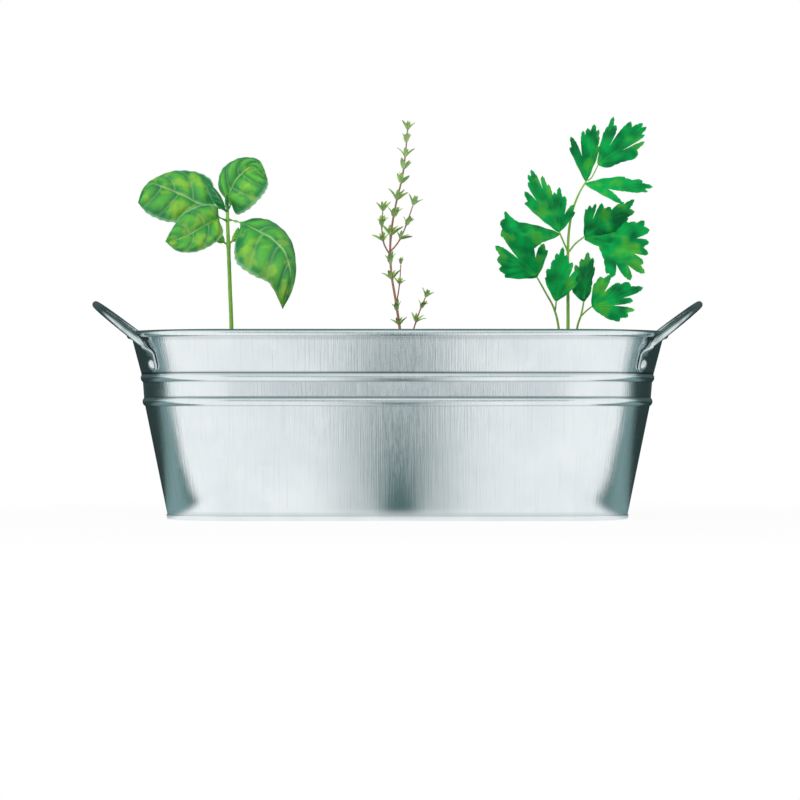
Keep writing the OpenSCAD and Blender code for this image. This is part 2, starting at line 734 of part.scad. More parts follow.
// Parsley: three stems from one crown, side stalks and lobed, toothed leaves
parsley = [[[0, 0, 0], [0.2, 0, 20], [0.2, 0.4, 40], [0.2, 0.5, 56], [0.6, 0.2, 66],
            [2.2, -0.5, 76], [5.2, -1.6, 84.5], [8.9, -3, 91]],
           parsley_stem_d, 0.45 * parsley_stem_d];
parsley_left = [[[-3.4, 1.5, 0], [-4.2, 0.8, 18], [-6.6, -1.2, 28.4], [-10.7, -3.6, 36],
                 [-15.2, -5.6, 43.8]], 0.7 * parsley_stem_d, 0.45 * parsley_stem_d];
parsley_left_fork = branch(parsley_left, 1.9, [[-6, -3.2, 29.6], [-5.8, -4.4, 32.1]],
                           0.45 * parsley_stem_d, 0.4 * parsley_stem_d);
parsley_right = [[[3.4, -1.5, 0], [4.4, -1.8, 18], [6.6, -2.8, 26], [7.7, -3.4, 32]],
                 0.7 * parsley_stem_d, 0.45 * parsley_stem_d];
parsley_right_fork = branch(parsley_right, 1.8, [[8.8, -5, 27.4], [11.4, -7, 29.5]],
                            0.45 * parsley_stem_d, 0.4 * parsley_stem_d);
left_stalk = branch(parsley, 3.05, [[-2.2, -2.6, 61.5], [-4.3, -5, 65.9]],
                    0.5 * parsley_stem_d, 0.45 * parsley_stem_d);
right_stalk = branch(parsley, 3, [[4, 2.8, 60.8], [8.6, 5, 64.4]],
                     0.5 * parsley_stem_d, 0.45 * parsley_stem_d);
top_stalk = branch(parsley, 6.85, [[11.8, -3.6, 93.2], [14.6, -4.6, 98.8]],
                   0.4 * parsley_stem_d, 0.35 * parsley_stem_d);

// The edge of a lobed leaf in the front view, about its middle: tips are its tooth tips from left
// to right as [x, z, k], each with the notch after it at k of the way out to the next tooth
function spot(tip) = [tip.x, tip.y];
function notch(a, b, middle) = a.z * ((spot(a) + spot(b)) / 2 - middle);
function toothed(tips, middle) = [for (i = [0:len(tips) - 1])
    each (i < len(tips) - 1) ? [spot(tips[i]) - middle, notch(tips[i], tips[i + 1], middle)]
                             : [spot(tips[i]) - middle]];
function turned(d, angle) = [d.x * cos(angle) + d.y * sin(angle), d.y * cos(angle) - d.x * sin(angle)];
function mean_tip(tips) = [for (tip = tips) 1] * [for (tip = tips) spot(tip)] / len(tips);

// A lobed leaf from the end of its stalk: face is where its upper side looks, and centre is the
// place in the front view that it is drawn out from
module lobed_leaf(from, face, tips, centre = [], foot = 0.5, droop = 0.1, fold = 10) {
    n = unit(face);
    base = [from.x, from.z];
    goal = unit(mean_tip(tips) - base);
    start = base + seat_gap * goal;
    middle = (len(centre) > 0) ? centre : start + 2 * foot * goal;
    side = foot * [-goal.y, goal.x];
    edge = concat([start + side - middle], toothed(tips, middle), [start - side - middle]);
    reach = max([for (e = edge) norm(e)]);
    skin([for (ring = [[0.1, -1], [0.6, -1], [1, 0], [0.6, 1], [0.1, 1]])
        [for (e = edge) let (d = middle + ring[0] * e - base,
                             bend = ring[0] * e,
                             off = abs(bend.x * goal.y - bend.y * goal.x))
            from + [d.x, -(n.x * d.x + n.z * d.y) / n.y, d.y]
                + (ring[1] * parsley_blade / 2 * (1.1 - ring[0]) - droop * (bend * bend) / reach
                   + off * sin(fold)) * n]]);
}

module parsley_place() {
    color(parsley_green) translate([parsley_x, 0, soil_z]) children();
}

module parsley_stem_part() {
    color(stem_green) translate([parsley_x, 0, soil_z]) children();
}

module parsley_main_stem() {
    parsley_stem_part() grow(parsley);
}

module parsley_left_stem() {
    parsley_stem_part() {
        grow(parsley_left);
        grow(parsley_left_fork);
    }
}

module parsley_right_stem() {
    parsley_stem_part() {
        grow(parsley_right);
        grow(parsley_right_fork);
    }
}

module parsley_left_stalk() {
    parsley_stem_part() grow(left_stalk);
}

module parsley_right_stalk() {
    parsley_stem_part() grow(right_stalk);
}

module parsley_top_stalk() {
    parsley_stem_part() grow(top_stalk);
}

module parsley_leaf_top_left() {
    parsley_place() lobed_leaf(tip(parsley), [0.16, -0.97, 0.18],
        [[0.5, 107, 0.93], [1.5, 113.5, 0.62], [8, 117, 0.88], [10.5, 118.5, 0.93],
         [14, 120.5, 0.93], [16, 117.5, 0.8], [16, 114, 0.62], [16.5, 109.5]]);
}

module parsley_leaf_top_right() {
    parsley_place() lobed_leaf(tip(top_stalk), [-0.27, -0.96, -0.04],
        [[17.5, 115, 0.95], [19, 117.5, 0.92], [22, 122.5, 0.93], [23.5, 118, 0.55],
         [30, 120, 0.9], [35.5, 119, 0.97], [37.5, 117, 0.93], [37, 113, 0.62], [37, 110, 0.93],
         [34, 103.5, 1], [32.5, 101.5, 1], [26, 100, 1], [20, 97.5]]);
}

module parsley_leaf_top_side() {
    parsley_place() lobed_leaf(seat(parsley, 6.7, [20, -6, 91], 0.4), [-0.2, -0.91, 0.36],
        [[27.5, 93, 0.96], [31, 91.5, 0.96], [36, 91.5, 0.93], [41, 88.5, 0.9], [38.5, 86, 0.93],
         [35, 85.5, 0.22], [27.5, 78, 0.93], [24.5, 79.5]], [16, 88.5]);
}

module parsley_leaf_upper_left() {
    parsley_place() lobed_leaf(tip(left_stalk), [-0.11, -0.99, -0.12],
        [[-21.5, 80, 0.93], [-21.5, 86, 0.8], [-20, 90.5, 0.95], [-20, 94, 0.96],
         [-18.5, 96.5, 0.88], [-13, 93.5, 0.86], [-10, 89.5, 0.72], [-7, 85.5, 0.9],
         [-4.5, 88, 0.9], [-1.5, 83.5, 0.66], [3, 79.5, 0.93], [3.5, 75.5]]);
}

module parsley_leaf_outer_left() {
    parsley_place() lobed_leaf(seat(left_stalk, 1.8, [-12, -3, 68], 0.4), [-0.25, -0.92, 0.29],
        [[-12.5, 61, 1], [-17, 57.5, 1], [-29.5, 60.5, 0.9], [-33, 65, 0.93], [-33, 72, 0.9],
         [-30.5, 77, 0.93], [-27.5, 74, 0.96], [-25, 72, 0.97], [-22.5, 71]], [-22, 65]);
}

module parsley_leaf_low_left() {
    parsley_place() lobed_leaf(tip(parsley_left), [-0.06, -0.96, -0.26],
        [[-31, 44, 0.95], [-34, 48, 0.93], [-35, 52.5, 0.93], [-36, 59, 0.6], [-33, 66, 0.9],
         [-27, 66.5, 0.95], [-20.5, 65, 0.62], [-12, 60.5, 0.95], [-10, 57]]);
}

module parsley_leaf_mid_right() {
    parsley_place() lobed_leaf(tip(right_stalk), [0.3, -0.95, 0.08],
        [[8.5, 78, 0.94], [11, 80, 0.9], [14.5, 81, 0.62], [17.5, 81.5, 0.9], [22.5, 79.5, 0.85],
         [29.5, 82.5, 0.9], [35, 84, 0.92], [34.5, 77.5, 0.93], [31, 74, 1], [24.5, 67, 1],
         [17, 65]]);
}

module parsley_leaf_outer_right() {
    parsley_place() lobed_leaf(seat(right_stalk, 1.8, [16, 3, 63], 0.4), [-0.15, -0.94, 0.3],
        [[17, 64.5, 1], [24, 66, 1], [29, 71.5, 0.97], [33.5, 71.5, 0.93], [38, 72, 0.95],
         [40.5, 67.5, 0.9], [40, 61.5, 0.88], [39.5, 56, 0.93], [37, 51, 0.93], [37.5, 46, 0.9],
         [30.5, 42, 0.7], [21.5, 43, 0.95], [19, 45, 1], [18, 52.5, 1], [15.5, 59.5]], [21, 60]);
}

module parsley_leaf_low_middle() {
    parsley_place() lobed_leaf(tip(parsley_left_fork), [-0.16, -0.98, -0.16],
        [[-11.5, 43.5, 0.93], [-10.5, 48, 0.9], [-7.5, 52.5, 0.95], [-6, 55.5, 0.93],
         [-3, 58.5, 0.93], [-1, 54.5, 0.9], [2, 51, 0.8], [4.5, 47, 0.9], [5, 41]]);
}

module parsley_leaf_low_inner() {
    parsley_place() lobed_leaf(tip(parsley_right), [0.21, -0.97, 0.09],
        [[2, 36.5, 0.95], [1.5, 45.5, 0.93], [4, 50.5, 0.86], [7, 53.5, 0.93], [10.5, 57, 0.93],
         [13, 54, 0.9], [13.5, 49.5, 0.86], [12, 43, 0.95], [11.5, 38]]);
}

module parsley_leaf_low_right() {
    parsley_place() lobed_leaf(tip(parsley_right_fork), [-0.36, -0.91, 0.18],
        [[13, 40.5, 0.95], [16, 44, 0.93], [21, 45, 0.62], [25, 41, 0.93], [29, 41.5, 0.93],
         [35.5, 39, 0.85], [31, 32, 0.62], [32, 27.5, 0.93], [29, 24, 0.93], [25, 21.5, 1],
         [19.5, 23, 1], [15.5, 25.8]]);
}

front_wall();
rear_wall();
base_pan();
rim_wire();
left_handle();
right_handle();
left_rivets();
right_rivets();
left_rivet_washers();
right_rivet_washers();
compost();
basil_root_plug();
thyme_root_plug();
parsley_root_plug();
basil_stem();
basil_leaf_left();
basil_leaf_top();
basil_leaf_front();
basil_leaf_right();
basil_tip_leaf_left();
basil_tip_leaf_right();
basil_side_shoot_left();
basil_side_shoot_right();
thyme_main_stem();
thyme_left_branch();
thyme_right_branch();
thyme_low_branch();
thyme_young_branch();
thyme_main_leaves();
thyme_left_leaves();
thyme_right_leaves();
thyme_low_leaves();
thyme_young_leaves();
parsley_main_stem();
parsley_left_stem();
parsley_right_stem();
parsley_left_stalk();
parsley_right_stalk();
parsley_top_stalk();
parsley_leaf_top_left();
parsley_leaf_top_right();
parsley_leaf_top_side();
parsley_leaf_upper_left();
parsley_leaf_outer_left();
parsley_leaf_low_left();
parsley_leaf_mid_right();
parsley_leaf_outer_right();
parsley_leaf_low_middle();
parsley_leaf_low_inner();
parsley_leaf_low_right();
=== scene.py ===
"""Looks of the indoor herb planter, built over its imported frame.

A tapered tub of galvanised sheet with two rolled beads, a wired rim and riveted wire handles
holds compost and three young herbs: basil, thyme and parsley. Sizes in the classes are in
millimetres. A plant's own points start at the compost, with x along the tub, y to the back
and z up, and MeshDraft turns them into metres.
"""

import logging
import math
import random
from dataclasses import dataclass, field
from enum import Enum
from typing import Callable, Sequence, TypeVar

import bpy
from mathutils import Matrix, Vector, noise

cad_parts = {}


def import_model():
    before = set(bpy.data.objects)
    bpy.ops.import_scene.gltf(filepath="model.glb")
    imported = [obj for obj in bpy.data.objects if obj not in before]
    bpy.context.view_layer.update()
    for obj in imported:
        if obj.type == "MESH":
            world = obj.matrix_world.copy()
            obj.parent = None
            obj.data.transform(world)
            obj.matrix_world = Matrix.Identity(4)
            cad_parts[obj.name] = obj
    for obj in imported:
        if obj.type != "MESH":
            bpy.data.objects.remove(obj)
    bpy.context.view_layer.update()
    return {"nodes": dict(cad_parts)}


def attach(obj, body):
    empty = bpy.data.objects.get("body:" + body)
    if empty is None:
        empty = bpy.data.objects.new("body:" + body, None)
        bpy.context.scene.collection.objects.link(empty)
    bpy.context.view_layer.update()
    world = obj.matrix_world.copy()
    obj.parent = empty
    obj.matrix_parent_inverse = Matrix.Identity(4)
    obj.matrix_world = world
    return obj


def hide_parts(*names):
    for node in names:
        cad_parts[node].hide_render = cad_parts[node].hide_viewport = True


LOG = logging.getLogger("herb_planter")
METRES_PER_MM = 0.001
BODY = "root"
WHITE = (1.0, 1.0, 1.0, 1.0)

Measure = TypeVar("Measure", float, Vector)
Socket = bpy.types.NodeSocket
Fed = Socket | float | tuple[float, ...]
Spots = Sequence[Sequence[float]]
Section = list[tuple[float, float, float]]


# Small helpers


def mix(a: Measure, b: Measure, share: float) -> Measure:
    """Returns the blend of two numbers or vectors, all b at a share of 1."""
    return a * (1 - share) + b * share


def clamp(value: float, low: float = 0.0, high: float = 1.0) -> float:
    """Returns the value held between two limits."""
    return max(low, min(high, value))


def ease(low: float, high: float, value: float) -> float:
    """Returns 0 below low, 1 above high and a smooth rise between them."""
    share = clamp((value - low) / (high - low))
    return share * share * (3 - 2 * share)


def hill(distance: float, width: float) -> float:
    """Returns a soft hump that is 1 at no distance and fades out over the width."""
    return math.exp(-((distance / width) ** 2))


def unit(v: Vector) -> Vector:
    """Returns the vector at length 1."""
    return v.normalized()


def colour(code: str) -> tuple[float, float, float, float]:
    """Turns a screen colour into the scene's linear colour.

    Args:
        code: Six hexadecimal digits, red first.

    Returns:
        Red, green, blue and alpha.
    """
    parts = [int(code[i : i + 2], 16) / 255 for i in (0, 2, 4)]
    linear = [p / 12.92 if p <= 0.04045 else ((p + 0.055) / 1.055) ** 2.4 for p in parts]
    return (*linear, 1.0)


def bezier(points: Sequence[Vector], s: float) -> Vector:
    """Finds a place on a curve with four control points.

    Args:
        points: The control points.
        s: Share of the way along.

    Returns:
        The place.
    """
    a, b, c, d = points
    t = 1 - s
    return t**3 * a + 3 * t * t * s * b + 3 * t * s * s * c + s**3 * d


def bezier_heading(points: Sequence[Vector], s: float) -> Vector:
    """Finds the direction of a curve with four control points.

    Args:
        points: The control points.
        s: Share of the way along.

    Returns:
        The direction, at length 1.
    """
    a, b, c, d = points
    t = 1 - s
    return unit(t * t * (b - a) + 2 * t * s * (c - b) + s * s * (d - c))


class MeshDraft:
    """A mesh in the making: points in millimetres, faces, and a value per point by name."""

    def __init__(self, name: str, *channels: str) -> None:
        """Starts an empty draft.

        Args:
            name: Name of the piece.
            channels: Names of the values that the finish reads from the points.
        """
        self.name = name
        self.points: list[Vector] = []
        self.faces: list[tuple[int, ...]] = []
        self.values: dict[str, list[float]] = {channel: [] for channel in channels}

    def point(self, place: Vector, **values: float) -> int:
        """Adds a point with its values.

        Args:
            place: Where it lies.
            values: Its values by channel, 0 where none is given.

        Returns:
            The point's number.
        """
        self.points.append(place)
        for channel, held in self.values.items():
            held.append(values.get(channel, 0.0))
        return len(self.points) - 1

    def quads(self, rows: Sequence[Sequence[int]], closed: bool = False) -> None:
        """Joins rows of points with four-sided faces.

        Args:
            rows: Rows of point numbers, all of one length.
            closed: Whether each row runs back to its own start.
        """
        for low, high in zip(rows, rows[1:]):
            count = len(low)
            for i in range(count if closed else count - 1):
                j = (i + 1) % count
                self.faces.append((low[i], low[j], high[j], high[i]))

    def fan(self, row: Sequence[int], hub: int, flip: bool = False) -> None:
        """Closes a ring of points onto one point.

        Args:
            row: The ring.
            hub: The one point's number.
            flip: Whether the faces look the other way.
        """
        for i in range(len(row)):
            a, b = row[i], row[(i + 1) % len(row)]
            self.faces.append((b, a, hub) if flip else (a, b, hub))

    def cap(self, row: Sequence[int], flip: bool = False) -> None:
        """Closes a ring of points with one flat face."""
        self.faces.append(tuple(reversed(row)) if flip else tuple(row))

    def tube(self, rows: Sequence[Sequence[int]]) -> None:
        """Joins rings of points and closes both ends.

        Args:
            rows: The rings in order.
        """
        self.quads(rows, closed=True)
        self.cap(rows[0], flip=True)
        self.cap(rows[-1])

    def build(self, origin: Vector = Vector((0, 0, 0)), sharp: float = 40.0) -> bpy.types.Object:
        """Makes the Blender object.

        Args:
            origin: Place in the frame that the points start from, in millimetres.
            sharp: Angle in degrees above which an edge stays crisp.

        Returns:
            The new object, linked to the scene.
        """
        mesh = bpy.data.meshes.new(self.name)
        places = [tuple((p + origin) * METRES_PER_MM) for p in self.points]
        mesh.from_pydata(places, [], self.faces)
        for channel, held in self.values.items():
            layer = mesh.attributes.new(channel, "FLOAT", "POINT")
            layer.data.foreach_set("value", held)
        mesh.validate()
        mesh.shade_smooth()
        mesh.set_sharp_from_angle(angle=math.radians(sharp))
        item = bpy.data.objects.new(self.name, mesh)
        bpy.context.scene.collection.objects.link(item)
        return item


def oval(
    centre: Vector, u: Vector, v: Vector, a: float, b: float, sides: int, power: float = 2.0
) -> list[Vector]:
    """Returns points on an oval; a power above 2 makes it boxier.

    Args:
        centre: Middle of the oval.
        u: Direction of the first half axis.
        v: Direction of the second half axis.
        a: First half axis.
        b: Second half axis.
        sides: Number of points.
        power: Power of the oval's equation.

    Returns:
        The points in order round the oval.
    """
    ring = []
    for i in range(sides):
        t = 2 * math.pi * i / sides
        c, s = math.cos(t), math.sin(t)
        ring.append(
            centre
            + math.copysign(abs(c) ** (2 / power), c) * a * u
            + math.copysign(abs(s) ** (2 / power), s) * b * v
        )
    return ring


def hand_over(piece: bpy.types.Object, slot: str, *nodes: str) -> bpy.types.Object:
    """Lets a piece ride on the planter in place of its CAD nodes and reports it.

    Args:
        piece: The dressed piece.
        slot: The record's material slot; not used.
        nodes: CAD nodes that it stands for.

    Returns:
        The same piece.
    """
    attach(piece, BODY)
    if nodes:
        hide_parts(*nodes)
    stood_for = ", ".join(nodes) or "itself"
    LOG.info("%s: %d faces, stands for %s", piece.name, len(piece.data.polygons), stood_for)
    return piece


# Finishes


class Shader:
    """A material's nodes, with short calls for the ones that the finishes use."""

    def __init__(self, name: str) -> None:
        """Starts a material that holds one Principled shader."""
        self.material = bpy.data.materials.new(name)
        self.material.use_nodes = True
        self.tree = self.material.node_tree
        self.tree.nodes.clear()
        self.surface = self.tree.nodes.new("ShaderNodeBsdfPrincipled")
        self.output = self.tree.nodes.new("ShaderNodeOutputMaterial")
        self.join(self.surface.outputs[0], self.output.inputs["Surface"])

    def join(self, source: Fed, target: Socket) -> None:
        """Links a socket, or sets a plain number or colour.

        Args:
            source: What is fed in.
            target: The socket that takes it.
        """
        if isinstance(source, bpy.types.NodeSocket):
            self.tree.links.new(source, target)
        else:
            target.default_value = source

    def set(self, **values: Fed) -> None:
        """Sets sockets of the Principled shader, with _ for each space in a name."""
        for name, value in values.items():
            self.join(value, self.surface.inputs[name.replace("_", " ")])

    def node(self, kind: str, **settings: object) -> bpy.types.Node:
        """Adds a node and sets its properties.

        Args:
            kind: The node's type, without its first word.
            settings: Its properties.

        Returns:
            The node.
        """
        made = self.tree.nodes.new("ShaderNode" + kind)
        for name, value in settings.items():
            setattr(made, name, value)
        return made

    def place(self, x: float = 1.0, y: float = 1.0, z: float = 1.0) -> Socket:
        """Reads the place on the object in metres.

        Args:
            x: Scale along the tub.
            y: Scale to the back.
            z: Scale upward.

        Returns:
            The scaled place.
        """
        made = self.node("Mapping")
        self.join(self.node("TexCoord").outputs["Object"], made.inputs["Vector"])
        made.inputs["Scale"].default_value = (x, y, z)
        return made.outputs[0]

    def value(self, channel: str) -> Socket:
        """Returns a value that MeshDraft gave the points."""
        return self.node("Attribute", attribute_name=channel).outputs["Fac"]

    def grain(self, place: Socket, scale: float, detail: float = 2.0, rough: float = 0.5) -> Socket:
        """Adds a soft noise.

        Args:
            place: Where it is read.
            scale: Its patches to the metre.
            detail: How many finer layers it has.
            rough: How strong these are.

        Returns:
            The noise, from 0 to 1.
        """
        made = self.node("TexNoise")
        self.join(place, made.inputs["Vector"])
        self.join(scale, made.inputs["Scale"])
        self.join(detail, made.inputs["Detail"])
        self.join(rough, made.inputs["Roughness"])
        return made.outputs["Fac"]

    def cells(self, place: Socket, scale: float, output: str = "Color") -> Socket:
        """Adds a pattern of irregular cells.

        Args:
            place: Where it is read.
            scale: Its cells to the metre.
            output: The output that is used.

        Returns:
            That output.
        """
        made = self.node("TexVoronoi")
        self.join(place, made.inputs["Vector"])
        self.join(scale, made.inputs["Scale"])
        return made.outputs[output]

    def between(
        self, value: Fed, low: float, high: float, to_low: float = 0.0, to_high: float = 1.0
    ) -> Socket:
        """Turns a rise between two values into a smooth one on a new range.

        Args:
            value: The value.
            low: Where the rise starts.
            high: Where it ends.
            to_low: The result up to the start.
            to_high: The result past the end.

        Returns:
            The result.
        """
        made = self.node("MapRange", interpolation_type="SMOOTHSTEP")
        for socket, given in zip(made.inputs, (value, low, high, to_low, to_high)):
            self.join(given, socket)
        return made.outputs[0]

    def sum(self, kind: str, a: Fed, b: Fed = 0.0) -> Socket:
        """Adds a Math node.

        Args:
            kind: The operation.
            a: The first value.
            b: The second one.

        Returns:
            The result.
        """
        made = self.node("Math", operation=kind)
        self.join(a, made.inputs[0])
        self.join(b, made.inputs[1])
        return made.outputs[0]

    def blend(self, share: Fed, a: Fed, b: Fed) -> Socket:
        """Mixes two colours.

        Args:
            share: How much of the second.
            a: The first colour.
            b: The second one.

        Returns:
            The mixed colour.
        """
        made = self.node("Mix", data_type="RGBA")
        self.join(share, made.inputs["Factor"])
        self.join(a, made.inputs["A"])
        self.join(b, made.inputs["B"])
        return next(o for o in made.outputs if o.type == "RGBA")

    def bump(
        self, height: Socket, strength: float, distance: float, under: Socket | None = None
    ) -> Socket:
        """Adds relief to the shader.

        Args:
            height: The height, from 0 to 1.
            strength: How much of it shows.
            distance: The height of 1, in millimetres.
            under: The relief that this one lies on.

        Returns:
            The relief, for a further one.
        """
        made = self.node("Bump")
        self.join(height, made.inputs["Height"])
        made.inputs["Strength"].default_value = strength
        made.inputs["Distance"].default_value = distance * METRES_PER_MM
        if under is not None:
            self.join(under, made.inputs["Normal"])
        self.join(made.outputs[0], self.surface.inputs["Normal"])
        return made.outputs[0]


class Surround(Shader):
    """The world's nodes, with the same short calls."""

    def __init__(self, name: str) -> None:
        """Starts an empty world and gives it to the scene."""
        world = bpy.data.worlds.new(name)
        bpy.context.scene.world = world
        world.use_nodes = True
        self.tree = world.node_tree
        self.tree.nodes.clear()

    def background(self, tint: Fed, level: Fed) -> Socket:
        """Adds a light.

        Args:
            tint: Its colour.
            level: Its strength.

        Returns:
            The light.
        """
        made = self.node("Background")
        self.join(tint, made.inputs["Color"])
        self.join(level, made.inputs["Strength"])
        return made.outputs[0]

    def choose(self, share: Fed, a: Socket, b: Socket) -> Socket:
        """Mixes two lights.

        Args:
            share: How much of the second.
            a: The first light.
            b: The second one.

        Returns:
            The mixed light.
        """
        made = self.node("MixShader")
        for socket, given in zip(made.inputs, (share, a, b)):
            self.join(given, socket)
        return made.outputs[0]

    def show(self, light: Socket) -> None:
        """Makes a light the world's own."""
        self.join(light, self.node("OutputWorld").inputs["Surface"])


@dataclass(frozen=True)
class SheetZinc:
    """Galvanised sheet: soft spangle, faint drawing lines and painted shade in the creases."""

    name: str = "galvanised_sheet"
    bright: str = "f0f6f8"
    dull: str = "e2eaed"
    # Colour of the faint drawing lines and of the painted shade in the creases.
    lines_and_crease_shade: str = "22302f"
    spangle_per_m: float = 210.0
    smooth: float = 0.15
    rough: float = 0.24
    clouds_per_m: float = 26.0
    lines_per_m: float = 1500.0
    dents_per_m: float = 22.0

    def make(self) -> bpy.types.Material:
        """Builds the material.

        Returns:
            The new material.
        """
        s = Shader(self.name)
        spangle = s.cells(s.place(1, 1, 0.7), self.spangle_per_m)
        tone = s.node("SeparateColor")
        s.join(spangle, tone.inputs[0])
        cloud = s.grain(s.place(), self.clouds_per_m, 3)
        spot = s.node("SeparateXYZ")
        s.join(s.place(1, 1, 0.02), spot.inputs[0])
        lines = s.node("CombineXYZ")
        s.join(s.value("around"), lines.inputs[0])
        s.join(spot.outputs[2], lines.inputs[2])
        streak = s.grain(lines.outputs[0], self.lines_per_m, 3, 0.65)
        share = s.sum("ADD", s.sum("MULTIPLY", tone.outputs[0], 0.08), s.sum("MULTIPLY", cloud, 0.9))
        base = s.blend(s.between(share, 0.15, 0.75), colour(self.bright), colour(self.dull))
        base = s.blend(s.between(streak, 0.5, 0.8, 0, 0.1), base, colour(self.lines_and_crease_shade))
        # Painted shade: the crease value darkens the creases at the beads, under the rim and at the hem.
        base = s.blend(s.value("crease"), base, colour(self.lines_and_crease_shade))
        s.set(Base_Color=base, Metallic=1.0)
        s.set(Roughness=s.between(share, 0.2, 0.8, self.smooth, self.rough))
        wave = s.bump(s.grain(s.place(1, 1, 0.5), self.dents_per_m, 1), 0.28, 0.9)
        s.bump(s.sum("ADD", streak, s.sum("MULTIPLY", tone.outputs[1], 0.05)), 0.8, 0.1, wave)
        return s.material


@dataclass(frozen=True)
class DrawnWire:
    """Drawn steel wire and formed fittings: smooth, with fine lines and small marks."""

    name: str
    tint: str = "dfe6e7"
    shade: str = "b4c0c2"
    smooth: float = 0.16
    rough: float = 0.3
    lines: tuple[float, float, float] = (1.0, 0.15, 1.0)
    clouds_per_m: float = 140.0
    lines_per_m: float = 1500.0

    def make(self) -> bpy.types.Material:
        """Builds the material.

        Returns:
            The new material.
        """
        s = Shader(self.name)
        cloud = s.grain(s.place(), self.clouds_per_m, 4)
        fine = s.grain(s.place(*self.lines), self.lines_per_m, 2)
        s.set(Base_Color=s.blend(s.between(cloud, 0.35, 0.7), colour(self.tint), colour(self.shade)))
        s.set(Metallic=1.0, Roughness=s.between(fine, 0.25, 0.75, self.smooth, self.rough))
        s.bump(s.sum("ADD", fine, cloud), 0.06, 0.04)
        return s.material


@dataclass(frozen=True)
class Peat:
    """Moist peat compost: dark crumbs, brown bark and pale grains."""

    name: str = "peat_compost"
    deep: str = "1d130d"
    crumb: str = "4a3222"
    bark: str = "7a4f2f"
    grain: str = "dcd6c6"
    lumps_per_m: float = 420.0

    def make(self) -> bpy.types.Material:
        """Builds the material.

        Returns:
            The new material.
        """
        s = Shader(self.name)
        lump = s.grain(s.place(), self.lumps_per_m, 5, 0.7)
        base = s.blend(s.between(lump, 0.35, 0.68), colour(self.deep), colour(self.crumb))
        bits = s.value("bit")
        base = s.blend(s.between(bits, 0.2, 0.45), base, s.blend(lump, colour(self.deep), colour(self.bark)))
        base = s.blend(s.between(bits, 0.7, 0.9), base, colour(self.grain))
        s.set(Base_Color=base, Roughness=s.between(lump, 0.3, 0.8, 0.95, 0.7))
        s.surface.inputs["Specular IOR Level"].default_value = 0.25
        s.bump(lump, 0.8, 0.6)
        return s.material


@dataclass(frozen=True)
class Stalk:
    """A herb's stem: one colour at the compost, another at the tip, fine ribs along it."""

    name: str
    low: str
    high: str
    blush: str
    gloss: float = 0.42
    clouds_per_m: float = 700.0
    ribs_per_m: float = 2600.0

    def make(self) -> bpy.types.Material:
        """Builds the material.

        Returns:
            The new material.
        """
        s = Shader(self.name)
        along = s.value("along")
        cloud = s.grain(s.place(1, 1, 0.35), self.clouds_per_m, 3)
        ribs = s.grain(s.place(1, 1, 0.04), self.ribs_per_m, 2)
        base = s.blend(s.between(along, 0.0, 1.0), colour(self.low), colour(self.high))
        base = s.blend(s.between(cloud, 0.52, 0.72, 0, 0.75), base, colour(self.blush))
        s.set(Base_Color=base, Roughness=s.between(cloud, 0.2, 0.8, self.gloss, self.gloss + 0.15))
        s.set(Subsurface_Weight=0.06, Subsurface_Scale=0.002)
        s.bump(ribs, 0.15, 0.05)
        return s.material


@dataclass(frozen=True)
class Blade:
    """A herb leaf: mottled greens, veins, painted shade and a painted pale sheen at the rim from the mesh,
    waxy gloss.
    """

    name: str
    main: str
    # deep: the leaf's deeper green, also used for painted shade.
    deep: str
    light: str
    vein: str
    # rim: colour of the painted pale sheen along the leaf's edge.
    rim: str
    back: str
    patches_per_m: float = 130.0
    gloss: float = 0.3
    coat: float = 0.12
    shine: float = 0.35
    vein_share: float = 0.8
    deep_share: float = 0.8
    light_share: float = 0.8
    bloom: float = 0.0
    bloom_tint: str = "d4efe4"
    fine_per_m: float = 2400.0
    net_per_m: float = 1100.0

    def make(self) -> bpy.types.Material:
        """Builds the material.

        Returns:
            The new material.
        """
        s = Shader(self.name)
        place = s.place()
        patch = s.grain(place, self.patches_per_m, 2)
        fine = s.grain(place, self.fine_per_m, 3)
        net = s.cells(place, self.net_per_m, "Distance")
        pale = s.between(patch, 0.5, 0.66, 0, self.light_share)
        base = s.blend(pale, colour(self.main), colour(self.light))
        # Painted shade: the mesh's hollow value turns the green deep where shade would lie, such as beside
        # the veins; on the basil buds it is their deeper tone.
        dark = s.sum("MULTIPLY", s.value("hollow"), s.between(patch, 0.6, 0.42, 0.4, 1))
        base = s.blend(s.sum("MULTIPLY", dark, self.deep_share), base, colour(self.deep))
        base = s.blend(s.between(fine, 0.5, 0.8, 0, 0.18), base, colour(self.deep))
        base = s.blend(s.sum("MULTIPLY", s.value("vein"), self.vein_share), base, colour(self.vein))
        # Painted sheen: the mesh's rim value paints the pale rim colour along the leaf's edge.
        base = s.blend(s.value("rim"), base, colour(self.rim))
        base = s.blend(s.value("under"), base, colour(self.back))
        s.set(Base_Color=base, Roughness=s.between(fine, 0.25, 0.75, self.gloss, self.gloss + 0.14))
        s.set(Subsurface_Weight=0.12, Subsurface_Scale=0.0015, Coat_Weight=self.coat)
        s.set(Coat_Roughness=0.28, Specular_IOR_Level=self.shine)
        s.set(Sheen_Weight=self.bloom, Sheen_Roughness=0.45, Sheen_Tint=colour(self.bloom_tint))
        s.bump(s.sum("SUBTRACT", s.sum("MULTIPLY", fine, 0.5), s.sum("MULTIPLY", net, 0.6)), 0.3, 0.12)
        return s.material


